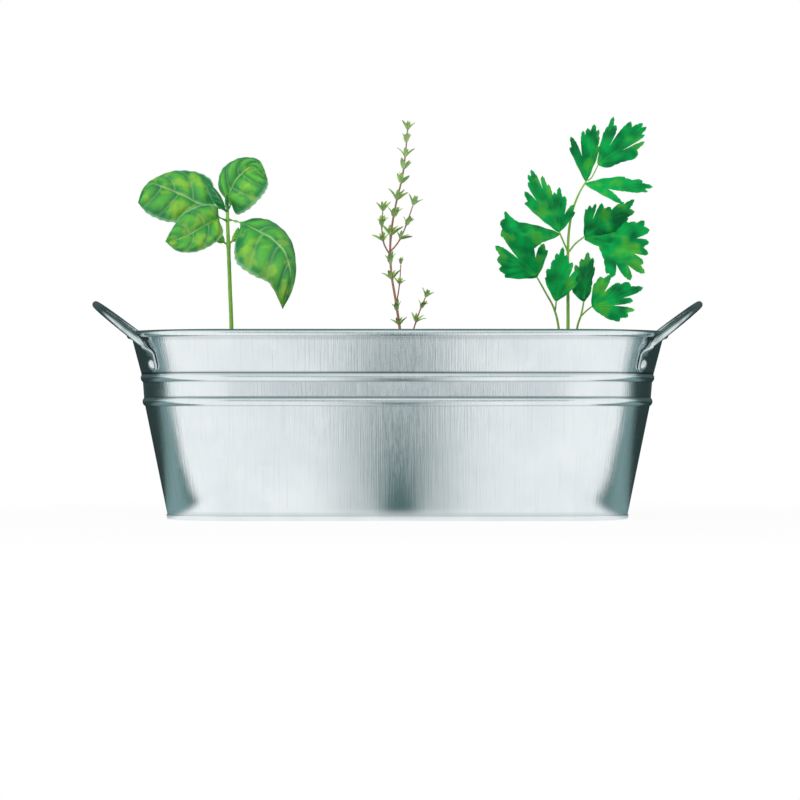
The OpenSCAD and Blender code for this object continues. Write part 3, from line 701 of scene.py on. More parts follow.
class Finish(Enum):
    """The planter's finishes and the record's material slots that they follow."""

    SHEET = ("zinc_sheet", SheetZinc())
    WIRE = ("steel_wire", DrawnWire("handle_wire"))
    FITTING = ("rivet_steel", DrawnWire("rivet_metal", "e6ecec", "b9c4c6", 0.2, 0.34, (1, 1, 1)))
    PEAT = ("compost", Peat())
    PLUG = ("root_plug", Peat("rooted_compost", "24180f", "57402c", "a08a63", "e2dac6"))
    GREEN_STEM = ("green_stem", Stalk("green_stalk", "94d84e", "a0dc58", "74bc3e"))
    BASIL = (
        "basil_leaf",
        Blade(
            "basil_blade", "5ac442", "008a44", "a0da3c", "cdf0a8", "a4e0b4", "8cd274",
            patches_per_m=130, gloss=0.32, coat=0.25, shine=0.4,
            vein_share=0.7, deep_share=1, light_share=0.8, bloom=0.22,
        ),
    )
    TWIG = ("thyme_stem", Stalk("thyme_twig", "c08a70", "b88a7c", "96565a", 0.55))
    THYME = (
        "thyme_leaf",
        Blade(
            "thyme_blade", "a0dc58", "5c9c42", "c4ec78", "d0eca4", "c2e6a0", "bcdaa2",
            patches_per_m=420, gloss=0.5, coat=0.0, shine=0.3, vein_share=0.5, deep_share=0.5,
        ),
    )
    PARSLEY = (
        "parsley_leaf",
        Blade(
            "parsley_blade", "00bc58", "00743c", "60d236", "40c854", "10bc5c", "34bc68",
            patches_per_m=95, gloss=0.5, coat=0.0, shine=0.12,
            vein_share=0.3, deep_share=1, light_share=0.65,
        ),
    )

    @property
    def slot(self) -> str:
        """The record's material slot."""
        return self.value[0]

    def material(self) -> bpy.types.Material:
        """Returns the finish's one material, made when it is first asked for."""
        held = bpy.data.materials.get(self.value[1].name)
        return held or self.value[1].make()

    def dress(self, piece: bpy.types.Object) -> bpy.types.Object:
        """Gives a new piece this finish and returns it."""
        piece.data.materials.append(self.material())
        return piece


# Tub


@dataclass(frozen=True)
class Station:
    """A place on the way round the tub: axis of the section, its facing and its offset."""

    x: float
    y: float
    angle: float
    shift: float = 0.0

    def at(self, r: float, z: float) -> Vector:
        """Returns the place of a section point that is r from the axis."""
        return Vector((self.x + r * math.cos(self.angle), self.y + r * math.sin(self.angle), z))


@dataclass
class Tub:
    """The sheet steel tub: two wall halves, lapped at the ends, and the wired rim."""

    height: float = 91.0
    corner_x: float = 79.0
    corner_y: float = 12.0
    rim_corner: float = 51.0
    side_taper: float = 18.5
    lower_taper: float = 11.6
    band_taper: float = 0.9
    sheet: float = 0.5
    bead_z: tuple[float, float] = (56.8, 68.3)
    bead_chord: float = 3.8
    bead_out: float = 0.9
    bead_soft: float = 0.09
    rim_wire_d: float = 2.6
    rim_wire_out: float = 0.65
    seam_lap: float = 8.0
    joggle: float = 1.2
    foot_z: float = 0.7
    flap_z: float = 2.7
    corner_steps: int = 30
    side_steps: int = 46
    wall_steps: int = 44
    fold_steps: int = 6

    @property
    def lean(self) -> float:
        """Lean of the wall above the upper bead, in radians."""
        rise = self.height - self.bead_z[1]
        return math.atan((self.side_taper - self.lower_taper - self.band_taper) / rise)

    @property
    def curl_r(self) -> float:
        """Outer radius of the rolled rim."""
        return self.rim_wire_d / 2 + self.sheet

    @property
    def strip_top(self) -> float:
        """Height where the wall turns into the rolled rim."""
        return self.height - 2 * self.curl_r

    def wall_r(self, z: float) -> float:
        """Finds the plain wall's outer face.

        Args:
            z: The height.

        Returns:
            The radius from the corner axis.
        """
        low, high = self.bead_z
        foot = self.rim_corner - self.side_taper
        if z < low:
            return foot + self.lower_taper * z / low
        if z < high:
            return foot + self.lower_taper + self.band_taper * (z - low) / (high - low)
        return self.rim_corner - (self.height - z) * math.tan(self.lean)

    def face_r(self, z: float) -> float:
        """Finds the wall's outer face with its two rolled beads.

        Args:
            z: The height.

        Returns:
            The radius from the corner axis.
        """
        ball = self.bead_chord**2 / (8 * self.bead_out) + self.bead_out / 2
        sunk = ball - self.bead_out
        tilt = math.atan(self.side_taper / self.height)
        r = self.wall_r(z)
        for mid in self.bead_z:
            dz = z - (mid + sunk * math.sin(tilt))
            if abs(dz) < ball:
                over = self.wall_r(mid) - sunk * math.cos(tilt) + math.sqrt(ball**2 - dz**2) - r
                r += (over + math.sqrt(over**2 + self.bead_soft**2)) / 2
        return r

    def crease(self, z: float) -> float:
        """Works out the painted shade in the wall's creases: at the beads, under the rolled rim and above
        the hem.

        Args:
            z: The height.

        Returns:
            The share of painted shade.
        """
        low, high = self.bead_z
        half = self.bead_chord / 2
        lines = 0.85 * hill(z - high - half - 0.35, 0.42) + 0.6 * hill(z - low - half - 0.35, 0.36)
        lines += 0.3 * hill(z - high + half, 0.3) + 0.25 * hill(z - low + half, 0.3)
        return clamp(lines + 0.35 * hill(z - self.strip_top - 0.4, 0.7) + 0.3 * hill(z - 2.4, 0.5))

    def heights(self) -> list[float]:
        """Spaces the section's heights, close together over the beads.

        Returns:
            The heights, from the foot up.
        """
        steps = self.wall_steps
        levels = [self.foot_z + i * (self.strip_top - self.foot_z) / steps for i in range(steps + 1)]
        for mid in self.bead_z:
            levels = [z for z in levels if abs(z - mid) > 3.0]
            levels += [mid - 2.7 + 0.135 * i for i in range(41)]
        return sorted(levels)

    def half_ring(self, right: float, left: float) -> list[Station]:
        """Sets the stations of the front half, from the right end seam to the left one.

        Args:
            right: How far the half runs past the middle of the right end, to the back.
            left: The same at the left end.

        Returns:
            The stations in order.
        """
        lap = self.seam_lap / 2
        turn = math.pi / 2 / self.corner_steps
        fold = -lap + self.joggle / 2
        folds = [fold - self.joggle * i / self.fold_steps for i in range(self.fold_steps + 1)]
        stops = []
        for y in sorted({right, *folds, -self.corner_y + 3}, reverse=True):
            if y <= right:
                shift = self.sheet * ease(fold - self.joggle, fold, y) if right > 0 else 0.0
                stops.append(Station(self.corner_x, y, 0.0, shift))
        stops += [Station(self.corner_x, -self.corner_y, -turn * i) for i in range(self.corner_steps + 1)]
        stops += [
            Station(self.corner_x * (1 - 2 * i / self.side_steps), -self.corner_y, -math.pi / 2)
            for i in range(1, self.side_steps)
        ]
        stops += [
            Station(-self.corner_x, -self.corner_y, -math.pi / 2 - turn * i)
            for i in range(self.corner_steps + 1)
        ]
        stops += [Station(-self.corner_x, y, -math.pi) for y in (-self.corner_y + 3, -lap, left)]
        return stops

    def sweep(
        self,
        draft: MeshDraft,
        stops: Sequence[Station],
        section: Callable[[Station], Section],
        turned: bool,
    ) -> None:
        """Sweeps a closed section along the stations.

        Args:
            draft: The wall's draft.
            stops: The stations in order.
            section: Gives the points at a station, as radius, height and crease shade.
            turned: Whether the half is the rear one.
        """
        turn = Matrix.Rotation(math.pi, 3, "Z") if turned else Matrix.Identity(3)
        mean_r = self.rim_corner - self.side_taper / 2
        rows = []
        way, before = 1.0 if turned else 0.0, stops[0]
        for stop in stops:
            way += (stop.at(mean_r, 0) - before.at(mean_r, 0)).length * METRES_PER_MM
            before = stop
            ring = section(stop)
            rows.append([draft.point(turn @ stop.at(r, z), crease=c, around=way) for r, z, c in ring])
        draft.tube(rows)

    def wall_section(self, stop: Station) -> Section:
        """Draws the wall's closed section; a flap stops short of the hem and the rim.

        Args:
            stop: The station.

        Returns:
            The section's points, as radius, height and crease shade.
        """
        shift = stop.shift
        share = shift / self.sheet
        low = mix(self.foot_z, self.flap_z, share)
        high = mix(self.strip_top, self.strip_top - self.sheet, share)
        levels = [clamp(z, low, high) for z in self.heights()]
        # The third value is painted crease shade, half as strong on the inner face.
        outer = [(self.face_r(z) + shift, z, self.crease(z)) for z in levels]
        inner = [(self.face_r(z) + shift - self.sheet, z, 0.5 * self.crease(z)) for z in levels[::-3]]
        return outer + inner

    def curl_section(self, _: Station) -> Section:
        """Draws the rolled rim's closed section, open underneath beside the wall.

        Args:
            _: The station, which the roll is the same at.

        Returns:
            The section's points, as radius, height and crease shade.
        """
        mid_r = self.wall_r(self.height - self.curl_r) - self.sheet / 2 + self.rim_wire_out
        mid_z = self.height - self.curl_r
        deep = self.rim_wire_d / 2

        def spot(angle: float, r: float, crease: float) -> tuple[float, float, float]:
            """Returns a point of the roll by its angle in degrees."""
            turn = math.radians(angle)
            return mid_r + r * math.cos(turn), mid_z + r * math.sin(turn), crease

        # The last value of each point is painted shade: darkest in the groove under the roll, fading round
        # its outside.
        low = [(self.wall_r(self.strip_top + dz), self.strip_top + dz, 0.3 * dz) for dz in (0, 0.25, 0.45)]
        groove = [spot(a, deep + 0.02, 1.0) for a in (258, 268, 278, 286)]
        lip = [spot(289, self.curl_r - 0.2, 0.9), spot(291, self.curl_r - 0.05, 0.5)]
        roll = [spot(a, self.curl_r, 0.35 * hill(a - 300, 16)) for a in range(295, 596, 10)]
        inner = [
            (self.wall_r(self.strip_top + dz) - self.sheet, self.strip_top + dz, 0.2) for dz in (0.5, 0.2, 0)
        ]
        return low + groove + lip + roll + inner

    def wall(self, name: str, turned: bool) -> bpy.types.Object:
        """Makes one wall half with its beads, rolled rim and joggled flap.

        Args:
            name: Name of the piece.
            turned: Whether it is the rear one.

        Returns:
            The dressed wall.
        """
        lap = self.seam_lap / 2
        draft = MeshDraft(name, "crease", "around")
        self.sweep(draft, self.half_ring(lap, lap - self.joggle), self.wall_section, turned)
        self.sweep(draft, self.half_ring(0, 0), self.curl_section, turned)
        return Finish.SHEET.dress(draft.build(sharp=32))

    def build(self) -> None:
        """Makes both wall halves in place of the CAD walls."""
        for name, turned, node in (("wall_front", False, "front_wall"), ("wall_rear", True, "rear_wall")):
            hand_over(self.wall(name, turned), Finish.SHEET.slot, node)

    def dress(self, nodes: dict) -> None:
        """Gives the base, the rim wire and the rivets, which stay as packed, their finishes.

        Args:
            nodes: The frame's objects by node.
        """
        kept = {
            Finish.SHEET: ("base_pan",),
            Finish.WIRE: ("rim_wire",),
            Finish.FITTING: ("left_rivets", "right_rivets", "left_rivet_washers", "right_rivet_washers"),
        }
        for finish, names in kept.items():
            for name in names:
                for slot in nodes[name].material_slots:
                    slot.material = finish.material()
                LOG.info("%s: kept as packed, with %s", name, finish.material().name)


@dataclass
class Handle:
    """A wire loop with flattened ends, riveted to the tub's corners."""

    tub: Tub
    wire_d: float = 3.3
    tab_width: float = 7.6
    tab_thick: float = 1.1
    tab_length: float = 8.6
    rivet_z: float = 74.8
    rivet_turn: float = math.radians(36)
    rise: float = math.radians(38)
    reach: float = 32.97
    bend_up: float = 3.0
    bend_out: float = 3.8
    fit_gap: float = 0.05
    sides: int = 28
    foot_steps: int = 12
    leg_steps: int = 14
    loop_steps: int = 64
    flat_power: float = 3.2
    round_power: float = 2.0

    def frame_at(self, sy: int) -> tuple[Vector, Vector, Vector]:
        """Finds how a rivet sits on the right of the tub.

        Args:
            sy: 1 for the rivet at the back, -1 for the front.

        Returns:
            The place, the facing and the way up the wall.
        """
        lean, turn = self.tub.lean, self.rivet_turn
        r = self.tub.wall_r(self.rivet_z)
        x, y = math.cos(turn), sy * math.sin(turn)
        place = Vector((self.tub.corner_x + r * x, sy * self.tub.corner_y + r * y, self.rivet_z))
        facing = Vector((math.cos(lean) * x, math.cos(lean) * y, -math.sin(lean)))
        upward = Vector((math.sin(lean) * x, math.sin(lean) * y, math.cos(lean)))
        return place, facing, upward

    @property
    def outward(self) -> Vector:
        """Direction in which the loop reaches out."""
        return Vector((math.cos(self.rise), 0, math.sin(self.rise)))

    @property
    def loop_normal(self) -> Vector:
        """Direction square to the loop."""
        return Vector((math.sin(self.rise), 0, -math.cos(self.rise)))

    def tab_top(self, sy: int) -> Vector:
        """Finds the upper end of the flattened tab.

        Args:
            sy: 1 at the back, -1 at the front.

        Returns:
            The place.
        """
        place, facing, upward = self.frame_at(sy)
        eye = place + (self.tab_thick / 2 + self.fit_gap) * facing
        return eye + (self.tab_length - self.tab_width / 2) * upward

    def bend(self, sy: int) -> Vector:
        """Finds where a leg meets the loop.

        Args:
            sy: 1 at the back, -1 at the front.

        Returns:
            The place.
        """
        top, upward = self.tab_top(sy), self.frame_at(sy)[2]
        b = top + self.bend_up * upward + self.bend_out * self.outward
        return Vector((b.x, sy * abs(top.y), b.z))

    def leg(self, sy: int) -> list[tuple]:
        """Sets a leg's rings, from the tab's foot to the loop.

        Args:
            sy: 1 at the back, -1 at the front.

        Returns:
            Place, heading, thin axis, half width, half thickness and power of each ring.
        """
        place, n, g = self.frame_at(sy)
        eye = place + (self.tab_thick / 2 + self.fit_gap) * n
        half, thin = self.tab_width / 2, self.tab_thick / 2
        foot, top, start = eye - half * g, self.tab_top(sy), self.bend(sy)
        rings = []
        for i in range(1, self.foot_steps + 1):
            a = math.radians(90 * i / self.foot_steps)
            edge = min(1.0, 0.45 + 0.2 * i)
            spot = foot + half * (1 - math.cos(a)) * g
            rings.append((spot, g, n, half * math.sin(a), thin * edge, self.flat_power))
        rings += [(mix(foot + half * g, top, i / 4), g, n, half, thin, self.flat_power) for i in range(1, 5)]
        path = (top, top + 2 * g, start - 2 * self.outward, start)
        for i in range(1, self.leg_steps + 1):
            s = i / self.leg_steps
            full = min(1.0, 1.25 * s)
            half_thick = mix(self.tab_thick, self.wire_d, full) / 2
            clear = (half_thick - thin) * (1 - s**3)
            rings.append(
                (
                    bezier(path, s) + clear * n,
                    bezier_heading(path, s),
                    unit(mix(n, self.loop_normal, s)),
                    mix(self.tab_width, self.wire_d, ease(0, 0.85, s)) / 2,
                    half_thick,
                    mix(self.flat_power, self.round_power, full),
                )
            )
        return rings

    def loop(self) -> list[tuple]:
        """Sets the rings of the loop between the two legs.

        Returns:
            The rings, written as for a leg.
        """
        a = self.bend(-1)
        half, steps, thin = abs(a.y), self.loop_steps, self.wire_d / 2
        rings = []
        for i in range(1, steps):
            t = math.pi * i / steps
            place = Vector((a.x, 0, a.z)) + self.reach * math.sin(t) * self.outward
            place.y = -half * math.cos(t)
            way = unit(self.reach * math.cos(t) * self.outward + Vector((0, half * math.sin(t), 0)))
            rings.append((place, way, self.loop_normal, thin, thin, self.round_power))
        return rings

    def make(self, name: str, turned: bool) -> bpy.types.Object:
        """Makes one handle.

        Args:
            name: Name of the piece.
            turned: Whether it is the left one.

        Returns:
            The dressed handle.
        """
        back = [(p, -d, n, a, b, k) for p, d, n, a, b, k in reversed(self.leg(1))]
        turn = Matrix.Rotation(math.pi, 3, "Z") if turned else Matrix.Identity(3)
        draft = MeshDraft(name)
        rows = []
        for p, d, n, a, b, k in self.leg(-1) + self.loop() + back:
            across = unit(d.cross(n))
            ring = oval(p, across, unit(across.cross(d)), a, b, self.sides, k)
            rows.append([draft.point(turn @ q) for q in ring])
        draft.tube(rows)
        return Finish.WIRE.dress(draft.build(sharp=50))

    def build(self) -> None:
        """Makes both handles in place of the CAD ones."""
        hand_over(self.make("handle_right", False), Finish.WIRE.slot, "right_handle")
        hand_over(self.make("handle_left", True), Finish.WIRE.slot, "left_handle")


# Compost


@dataclass
class Bedding:
    """The compost that fills the tub, and the three root plugs set in it."""

    tub: Tub
    top_z: float = 74.0
    floor_z: float = 3.0
    crown: float = 3.5
    crown_width: float = 16.0
    crumb: float = 0.9
    gap: float = 0.1
    plug_d: float = 34.0
    plug_depth: float = 46.0
    plug_taper: float = 4.0
    plugs: dict = field(default_factory=lambda: {"basil": -81.5, "thyme": 2.0, "parsley": 83.5})
    columns: int = 200
    rows: int = 84
    seed: int = 7
    settle: float = 0.9
    hollow: float = 1.6
    crumb_count: int = 420
    plug_sides: int = 64
    root_count: int = 9

    def reach(self, z: float) -> float:
        """Returns the radius of the fill at a height."""
        return self.tub.wall_r(z) - self.tub.sheet - self.gap

    def inside(self, x: float, r: float) -> float:
        """Returns half the fill's depth across the tub at x, for a corner radius."""
        over = max(0.0, abs(x) - self.tub.corner_x)
        return self.tub.corner_y + math.sqrt(max(0.0, r * r - over * over))

    def edge_gap(self, x: float, y: float, r: float) -> float:
        """Works out how far a place lies inside the fill's edge.

        Args:
            x: Place along the tub.
            y: Place across it.
            r: The fill's corner radius.

        Returns:
            The distance.
        """
        over_x = max(0.0, abs(x) - self.tub.corner_x)
        over_y = max(0.0, abs(y) - self.tub.corner_y)
        return r - math.hypot(over_x, over_y)

    def surface(self, x: float, y: float) -> float:
        """Works out the height of the compost.

        Args:
            x: Place along the tub.
            y: Place across it.

        Returns:
            The height.
        """
        fall = self.crown * (1 - clamp(self.edge_gap(x, y, self.reach(self.top_z)) / self.crown_width))
        spot = Vector((x, y, 0))
        rough = self.crumb * noise.fractal(spot * 0.32, 0.9, 2.1, 4) + 0.5 * noise.noise(spot * 0.07)
        near, far = self.plug_d / 2 - 1.5, self.plug_d / 2 + 1.5
        dip = max(ease(far, near, math.hypot(x - px, y)) for px in self.plugs.values())
        return min(self.top_z, self.top_z - self.settle - fall + rough - self.hollow * dip)

    def crumbs(self, draft: MeshDraft, rng: random.Random) -> None:
        """Strews bark and pale grains over the compost.

        Args:
            draft: The compost's draft.
            rng: The source of the places and sizes.
        """
        for _ in range(self.crumb_count):
            x = rng.uniform(-1, 1) * (self.tub.corner_x + 38)
            y = rng.uniform(-1, 1) * (self.inside(x, self.reach(70)) - 4)
            kind = rng.choices((0.1, 0.5, 1.0), (0.45, 0.35, 0.2))[0]
            size = rng.uniform(0.5, 1.5) * (1.3 if kind == 0.5 else 1.0)
            long = rng.uniform(1.5, 2.8) if kind == 0.5 else rng.uniform(0.8, 1.2)
            z = min(self.surface(x, y) + 0.3 * size, self.top_z - size * 0.6)
            about = Matrix.Rotation(rng.uniform(0, math.pi), 3, "Z")
            turn = about @ Matrix.Rotation(rng.uniform(-0.5, 0.5), 3, "X")
            rows = []
            for k, (up, r) in enumerate(((-0.8, 0.55), (-0.25, 1.0), (0.35, 0.9), (0.75, 0.5))):
                ring = []
                for i in range(7):
                    a = 2 * math.pi * i / 7 + 0.4 * k
                    w = r * rng.uniform(0.75, 1.1)
                    spot = Vector((math.cos(a) * w * long, math.sin(a) * w, up * 0.8)) * size
                    ring.append(draft.point(Vector((x, y, z)) + turn @ spot, bit=kind))
                rows.append(ring)
            draft.tube(rows)

    def fill(self) -> bpy.types.Object:
        """Makes the compost: a crumbly top on a body that follows the wall inside.

        Returns:
            The dressed compost.
        """
        draft = MeshDraft("compost_fill", "bit")
        edge_z = self.top_z - self.crown - self.settle
        r = self.reach(edge_z)
        rows = []
        for i in range(self.columns + 1):
            x = -math.cos(math.pi * i / self.columns) * (self.tub.corner_x + r)
            half = self.inside(x, r)
            row = [(x, half * (2 * j / self.rows - 1)) for j in range(self.rows + 1)]
            rows.append([draft.point(Vector((px, py, self.surface(px, py)))) for px, py in row])
        draft.quads(rows)
        right = [row[-1] for row in rows[1:]]
        left = [row[0] for row in rows[-2:0:-1]]
        rim = rows[0] + right + rows[-1][-2::-1] + left
        levels = [rim[::-1]]
        for z in (self.tub.bead_z[1], self.tub.bead_z[0], 30.0, self.floor_z):
            drop = self.reach(z) - r
            ring = []
            for number in rim[::-1]:
                p = draft.points[number]
                way = Vector((max(0, abs(p.x) - self.tub.corner_x), max(0, abs(p.y) - self.tub.corner_y), 0))
                way = unit(way) if way.length else Vector((0, 1, 0))
                push = Vector((math.copysign(way.x, p.x), math.copysign(way.y, p.y), 0)) * drop
                ring.append(draft.point(Vector((p.x, p.y, z)) + push))
            levels.append(ring)
        draft.quads(levels, closed=True)
        draft.cap(levels[-1])
        self.crumbs(draft, random.Random(self.seed))
        return Finish.PEAT.dress(draft.build(sharp=60))

    def plug(self, name: str, x: float) -> bpy.types.Object:
        """Makes a root plug: a tapered body with a crumbly top and a few bare roots.

        Args:
            name: The herb that it carries.
            x: Its place along the tub.

        Returns:
            The dressed plug.
        """
        draft = MeshDraft(f"{name}_plug", "bit")
        r_top, r_low = self.plug_d / 2 - 0.4, self.plug_d / 2 - self.plug_taper
        sides, rng = self.plug_sides, random.Random(self.seed + len(name))
        rows = []
        for k in range(11):
            r = r_top * (1 - k / 11)
            ring = []
            for i in range(sides):
                a = 2 * math.pi * i / sides
                px, py = r * math.cos(a), r * math.sin(a)
                spot = Vector((px + x, py, 3.0))
                lump = 0.8 * noise.fractal(spot * 0.45, 0.9, 2.1, 4) - 0.9 * ease(0.8, 1.0, r / r_top)
                z = min(self.top_z, self.top_z - 0.75 + lump)
                ring.append(draft.point(Vector((px + x, py, z)), bit=0.3 * (k % 2)))
            rows.append(ring)
        hub = draft.point(Vector((x, 0, self.top_z - 0.5)))
        draft.quads(rows[::-1], closed=True)
        draft.fan(rows[-1], hub)
        low = self.top_z - self.plug_depth
        body = [rows[0]]
        for k in range(1, 9):
            z, r = mix(self.top_z - 2, low, k / 8), mix(r_top, r_low, k / 8)
            ring = []
            for i in range(sides):
                a = 2 * math.pi * i / sides
                w = r - 0.4 + 0.4 * noise.noise(Vector((3 * math.cos(a), 3 * math.sin(a), 0.2 * z)))
                ring.append(draft.point(Vector((x + w * math.cos(a), w * math.sin(a), z))))
            body.append(ring)
        draft.quads(body, closed=True)
        draft.cap(body[-1])
        for _ in range(self.root_count):
            self.root(draft, rng, x)
        return Finish.PLUG.dress(draft.build(sharp=60))

    def root(self, draft: MeshDraft, rng: random.Random, x: float) -> None:
        """Lays one thin pale root over a plug's top.

        Args:
            draft: The plug's draft.
            rng: The source of its bends.
            x: The plug's place along the tub.
        """
        a, r = rng.uniform(0, 2 * math.pi), rng.uniform(2, 9)
        place = Vector((x + r * math.cos(a), r * math.sin(a), self.top_z - 0.5))
        way = Vector((math.cos(a + 1.2), math.sin(a + 1.2), 0))
        rows = []
        for k in range(9):
            way = unit(way + Vector((rng.uniform(-0.5, 0.5), rng.uniform(-0.5, 0.5), 0)))
            if math.hypot(place.x - x, place.y) > self.plug_d / 2 - 3:
                break
            side = Vector((-way.y, way.x, 0))
            ring = oval(place, side, Vector((0, 0, 1)), 0.22, 0.22, 6)
            rows.append([draft.point(q, bit=0.6) for q in ring])
            place = place + way * 0.9
        if len(rows) > 2:
            draft.tube(rows)

    def build(self) -> None:
        """Makes the compost and its plugs in place of the CAD ones."""
        hand_over(self.fill(), Finish.PEAT.slot, "compost")
        for name, x in self.plugs.items():
            hand_over(self.plug(name, x), Finish.PLUG.slot, f"{name}_root_plug")


# Stems


class Rail:
    """A smooth line through points; s counts them from 0."""

    def __init__(self, points: Spots) -> None:
        """Keeps the points."""
        self.points = [Vector(p) for p in points]
        self.last = len(self.points) - 1

    def at(self, s: float) -> Vector:
        """Finds a place on the line.

        Args:
            s: How far along the line.

        Returns:
            The place.
        """
        p, n = self.points, self.last
        i = min(int(s), n - 1)
        t = s - i
        a, b, c, d = p[max(i - 1, 0)], p[i], p[i + 1], p[min(i + 2, n)]
        square = (2 * a - 5 * b + 4 * c - d) * t * t
        cube = (3 * b - a - 3 * c + d) * t**3
        return 0.5 * (2 * b + (c - a) * t + square + cube)

    def heading(self, s: float) -> Vector:
        """Returns the direction at s."""
        return unit(self.at(min(s + 0.05, self.last)) - self.at(max(s - 0.05, 0)))


class Stem(Rail):
    """A stem: a rail with a diameter at each end."""

    def __init__(self, points: Spots, low_d: float, high_d: float) -> None:
        """Keeps the points and the two diameters.

        Args:
            points: Points of its middle line, from the foot up.
            low_d: Diameter at the foot.
            high_d: Diameter at the tip.
        """
        super().__init__(points)
        self.low_d = low_d
        self.high_d = high_d

    def radius(self, s: float) -> float:
        """Returns the stem's radius at s."""
        return mix(self.low_d, self.high_d, s / self.last) / 2

    def seat(self, s: float, goal: Sequence[float], r: float) -> Vector:
        """Finds the place where a stalk leaves the stem.

        Args:
            s: How far along the stem.
            goal: A point that the stalk heads for.
            r: The stalk's radius.

        Returns:
            The place, a little inside the stem's skin.
        """
        p = self.at(s)
        d = unit(Vector(goal) - p)
        c = min(0.95, abs(d.dot(self.heading(s))))
        return p + d * (0.6 * (self.radius(s) + r * c) / math.sqrt(1 - c * c))

    def branch(self, s: float, points: Spots, low_d: float, high_d: float) -> "Stem":
        """Returns a stem grown out of this one at s."""
        return Stem([self.seat(s, points[0], low_d / 2), *points], low_d, high_d)

    @property
    def tip(self) -> Vector:
        """The stem's upper end."""
        return self.at(self.last)

    def grow(self, draft: MeshDraft, sides: int = 14, per: int = 10, knots: Sequence[float] = ()) -> None:
        """Adds the stem to a draft.

        Args:
            draft: The draft, with the channel "along".
            sides: Points round the stem.
            per: Rings from one point of the rail to the next.
            knots: Places along the stem where it is a little thicker.
        """
        rows = []
        total = per * self.last
        for k in range(total + 1):
            s = k / per
            d = self.heading(s)
            across = unit(d.cross(Vector((0, 1, 0.01))))
            swell = 1 + 0.3 * sum(hill(s - knot, 0.1) for knot in knots)
            swell *= 1 + 0.05 * noise.noise(self.at(s) * 0.4)
            r = self.radius(s) * swell
            ring = oval(self.at(s), across, unit(across.cross(d)), r, r, sides)
            rows.append([draft.point(q, along=k / total) for q in ring])
        draft.quads(rows, closed=True)
        draft.cap(rows[0], flip=True)
        end = draft.point(self.tip + 0.5 * self.radius(self.last) * self.heading(self.last), along=1.0)
        draft.fan(rows[-1], end)


# Basil


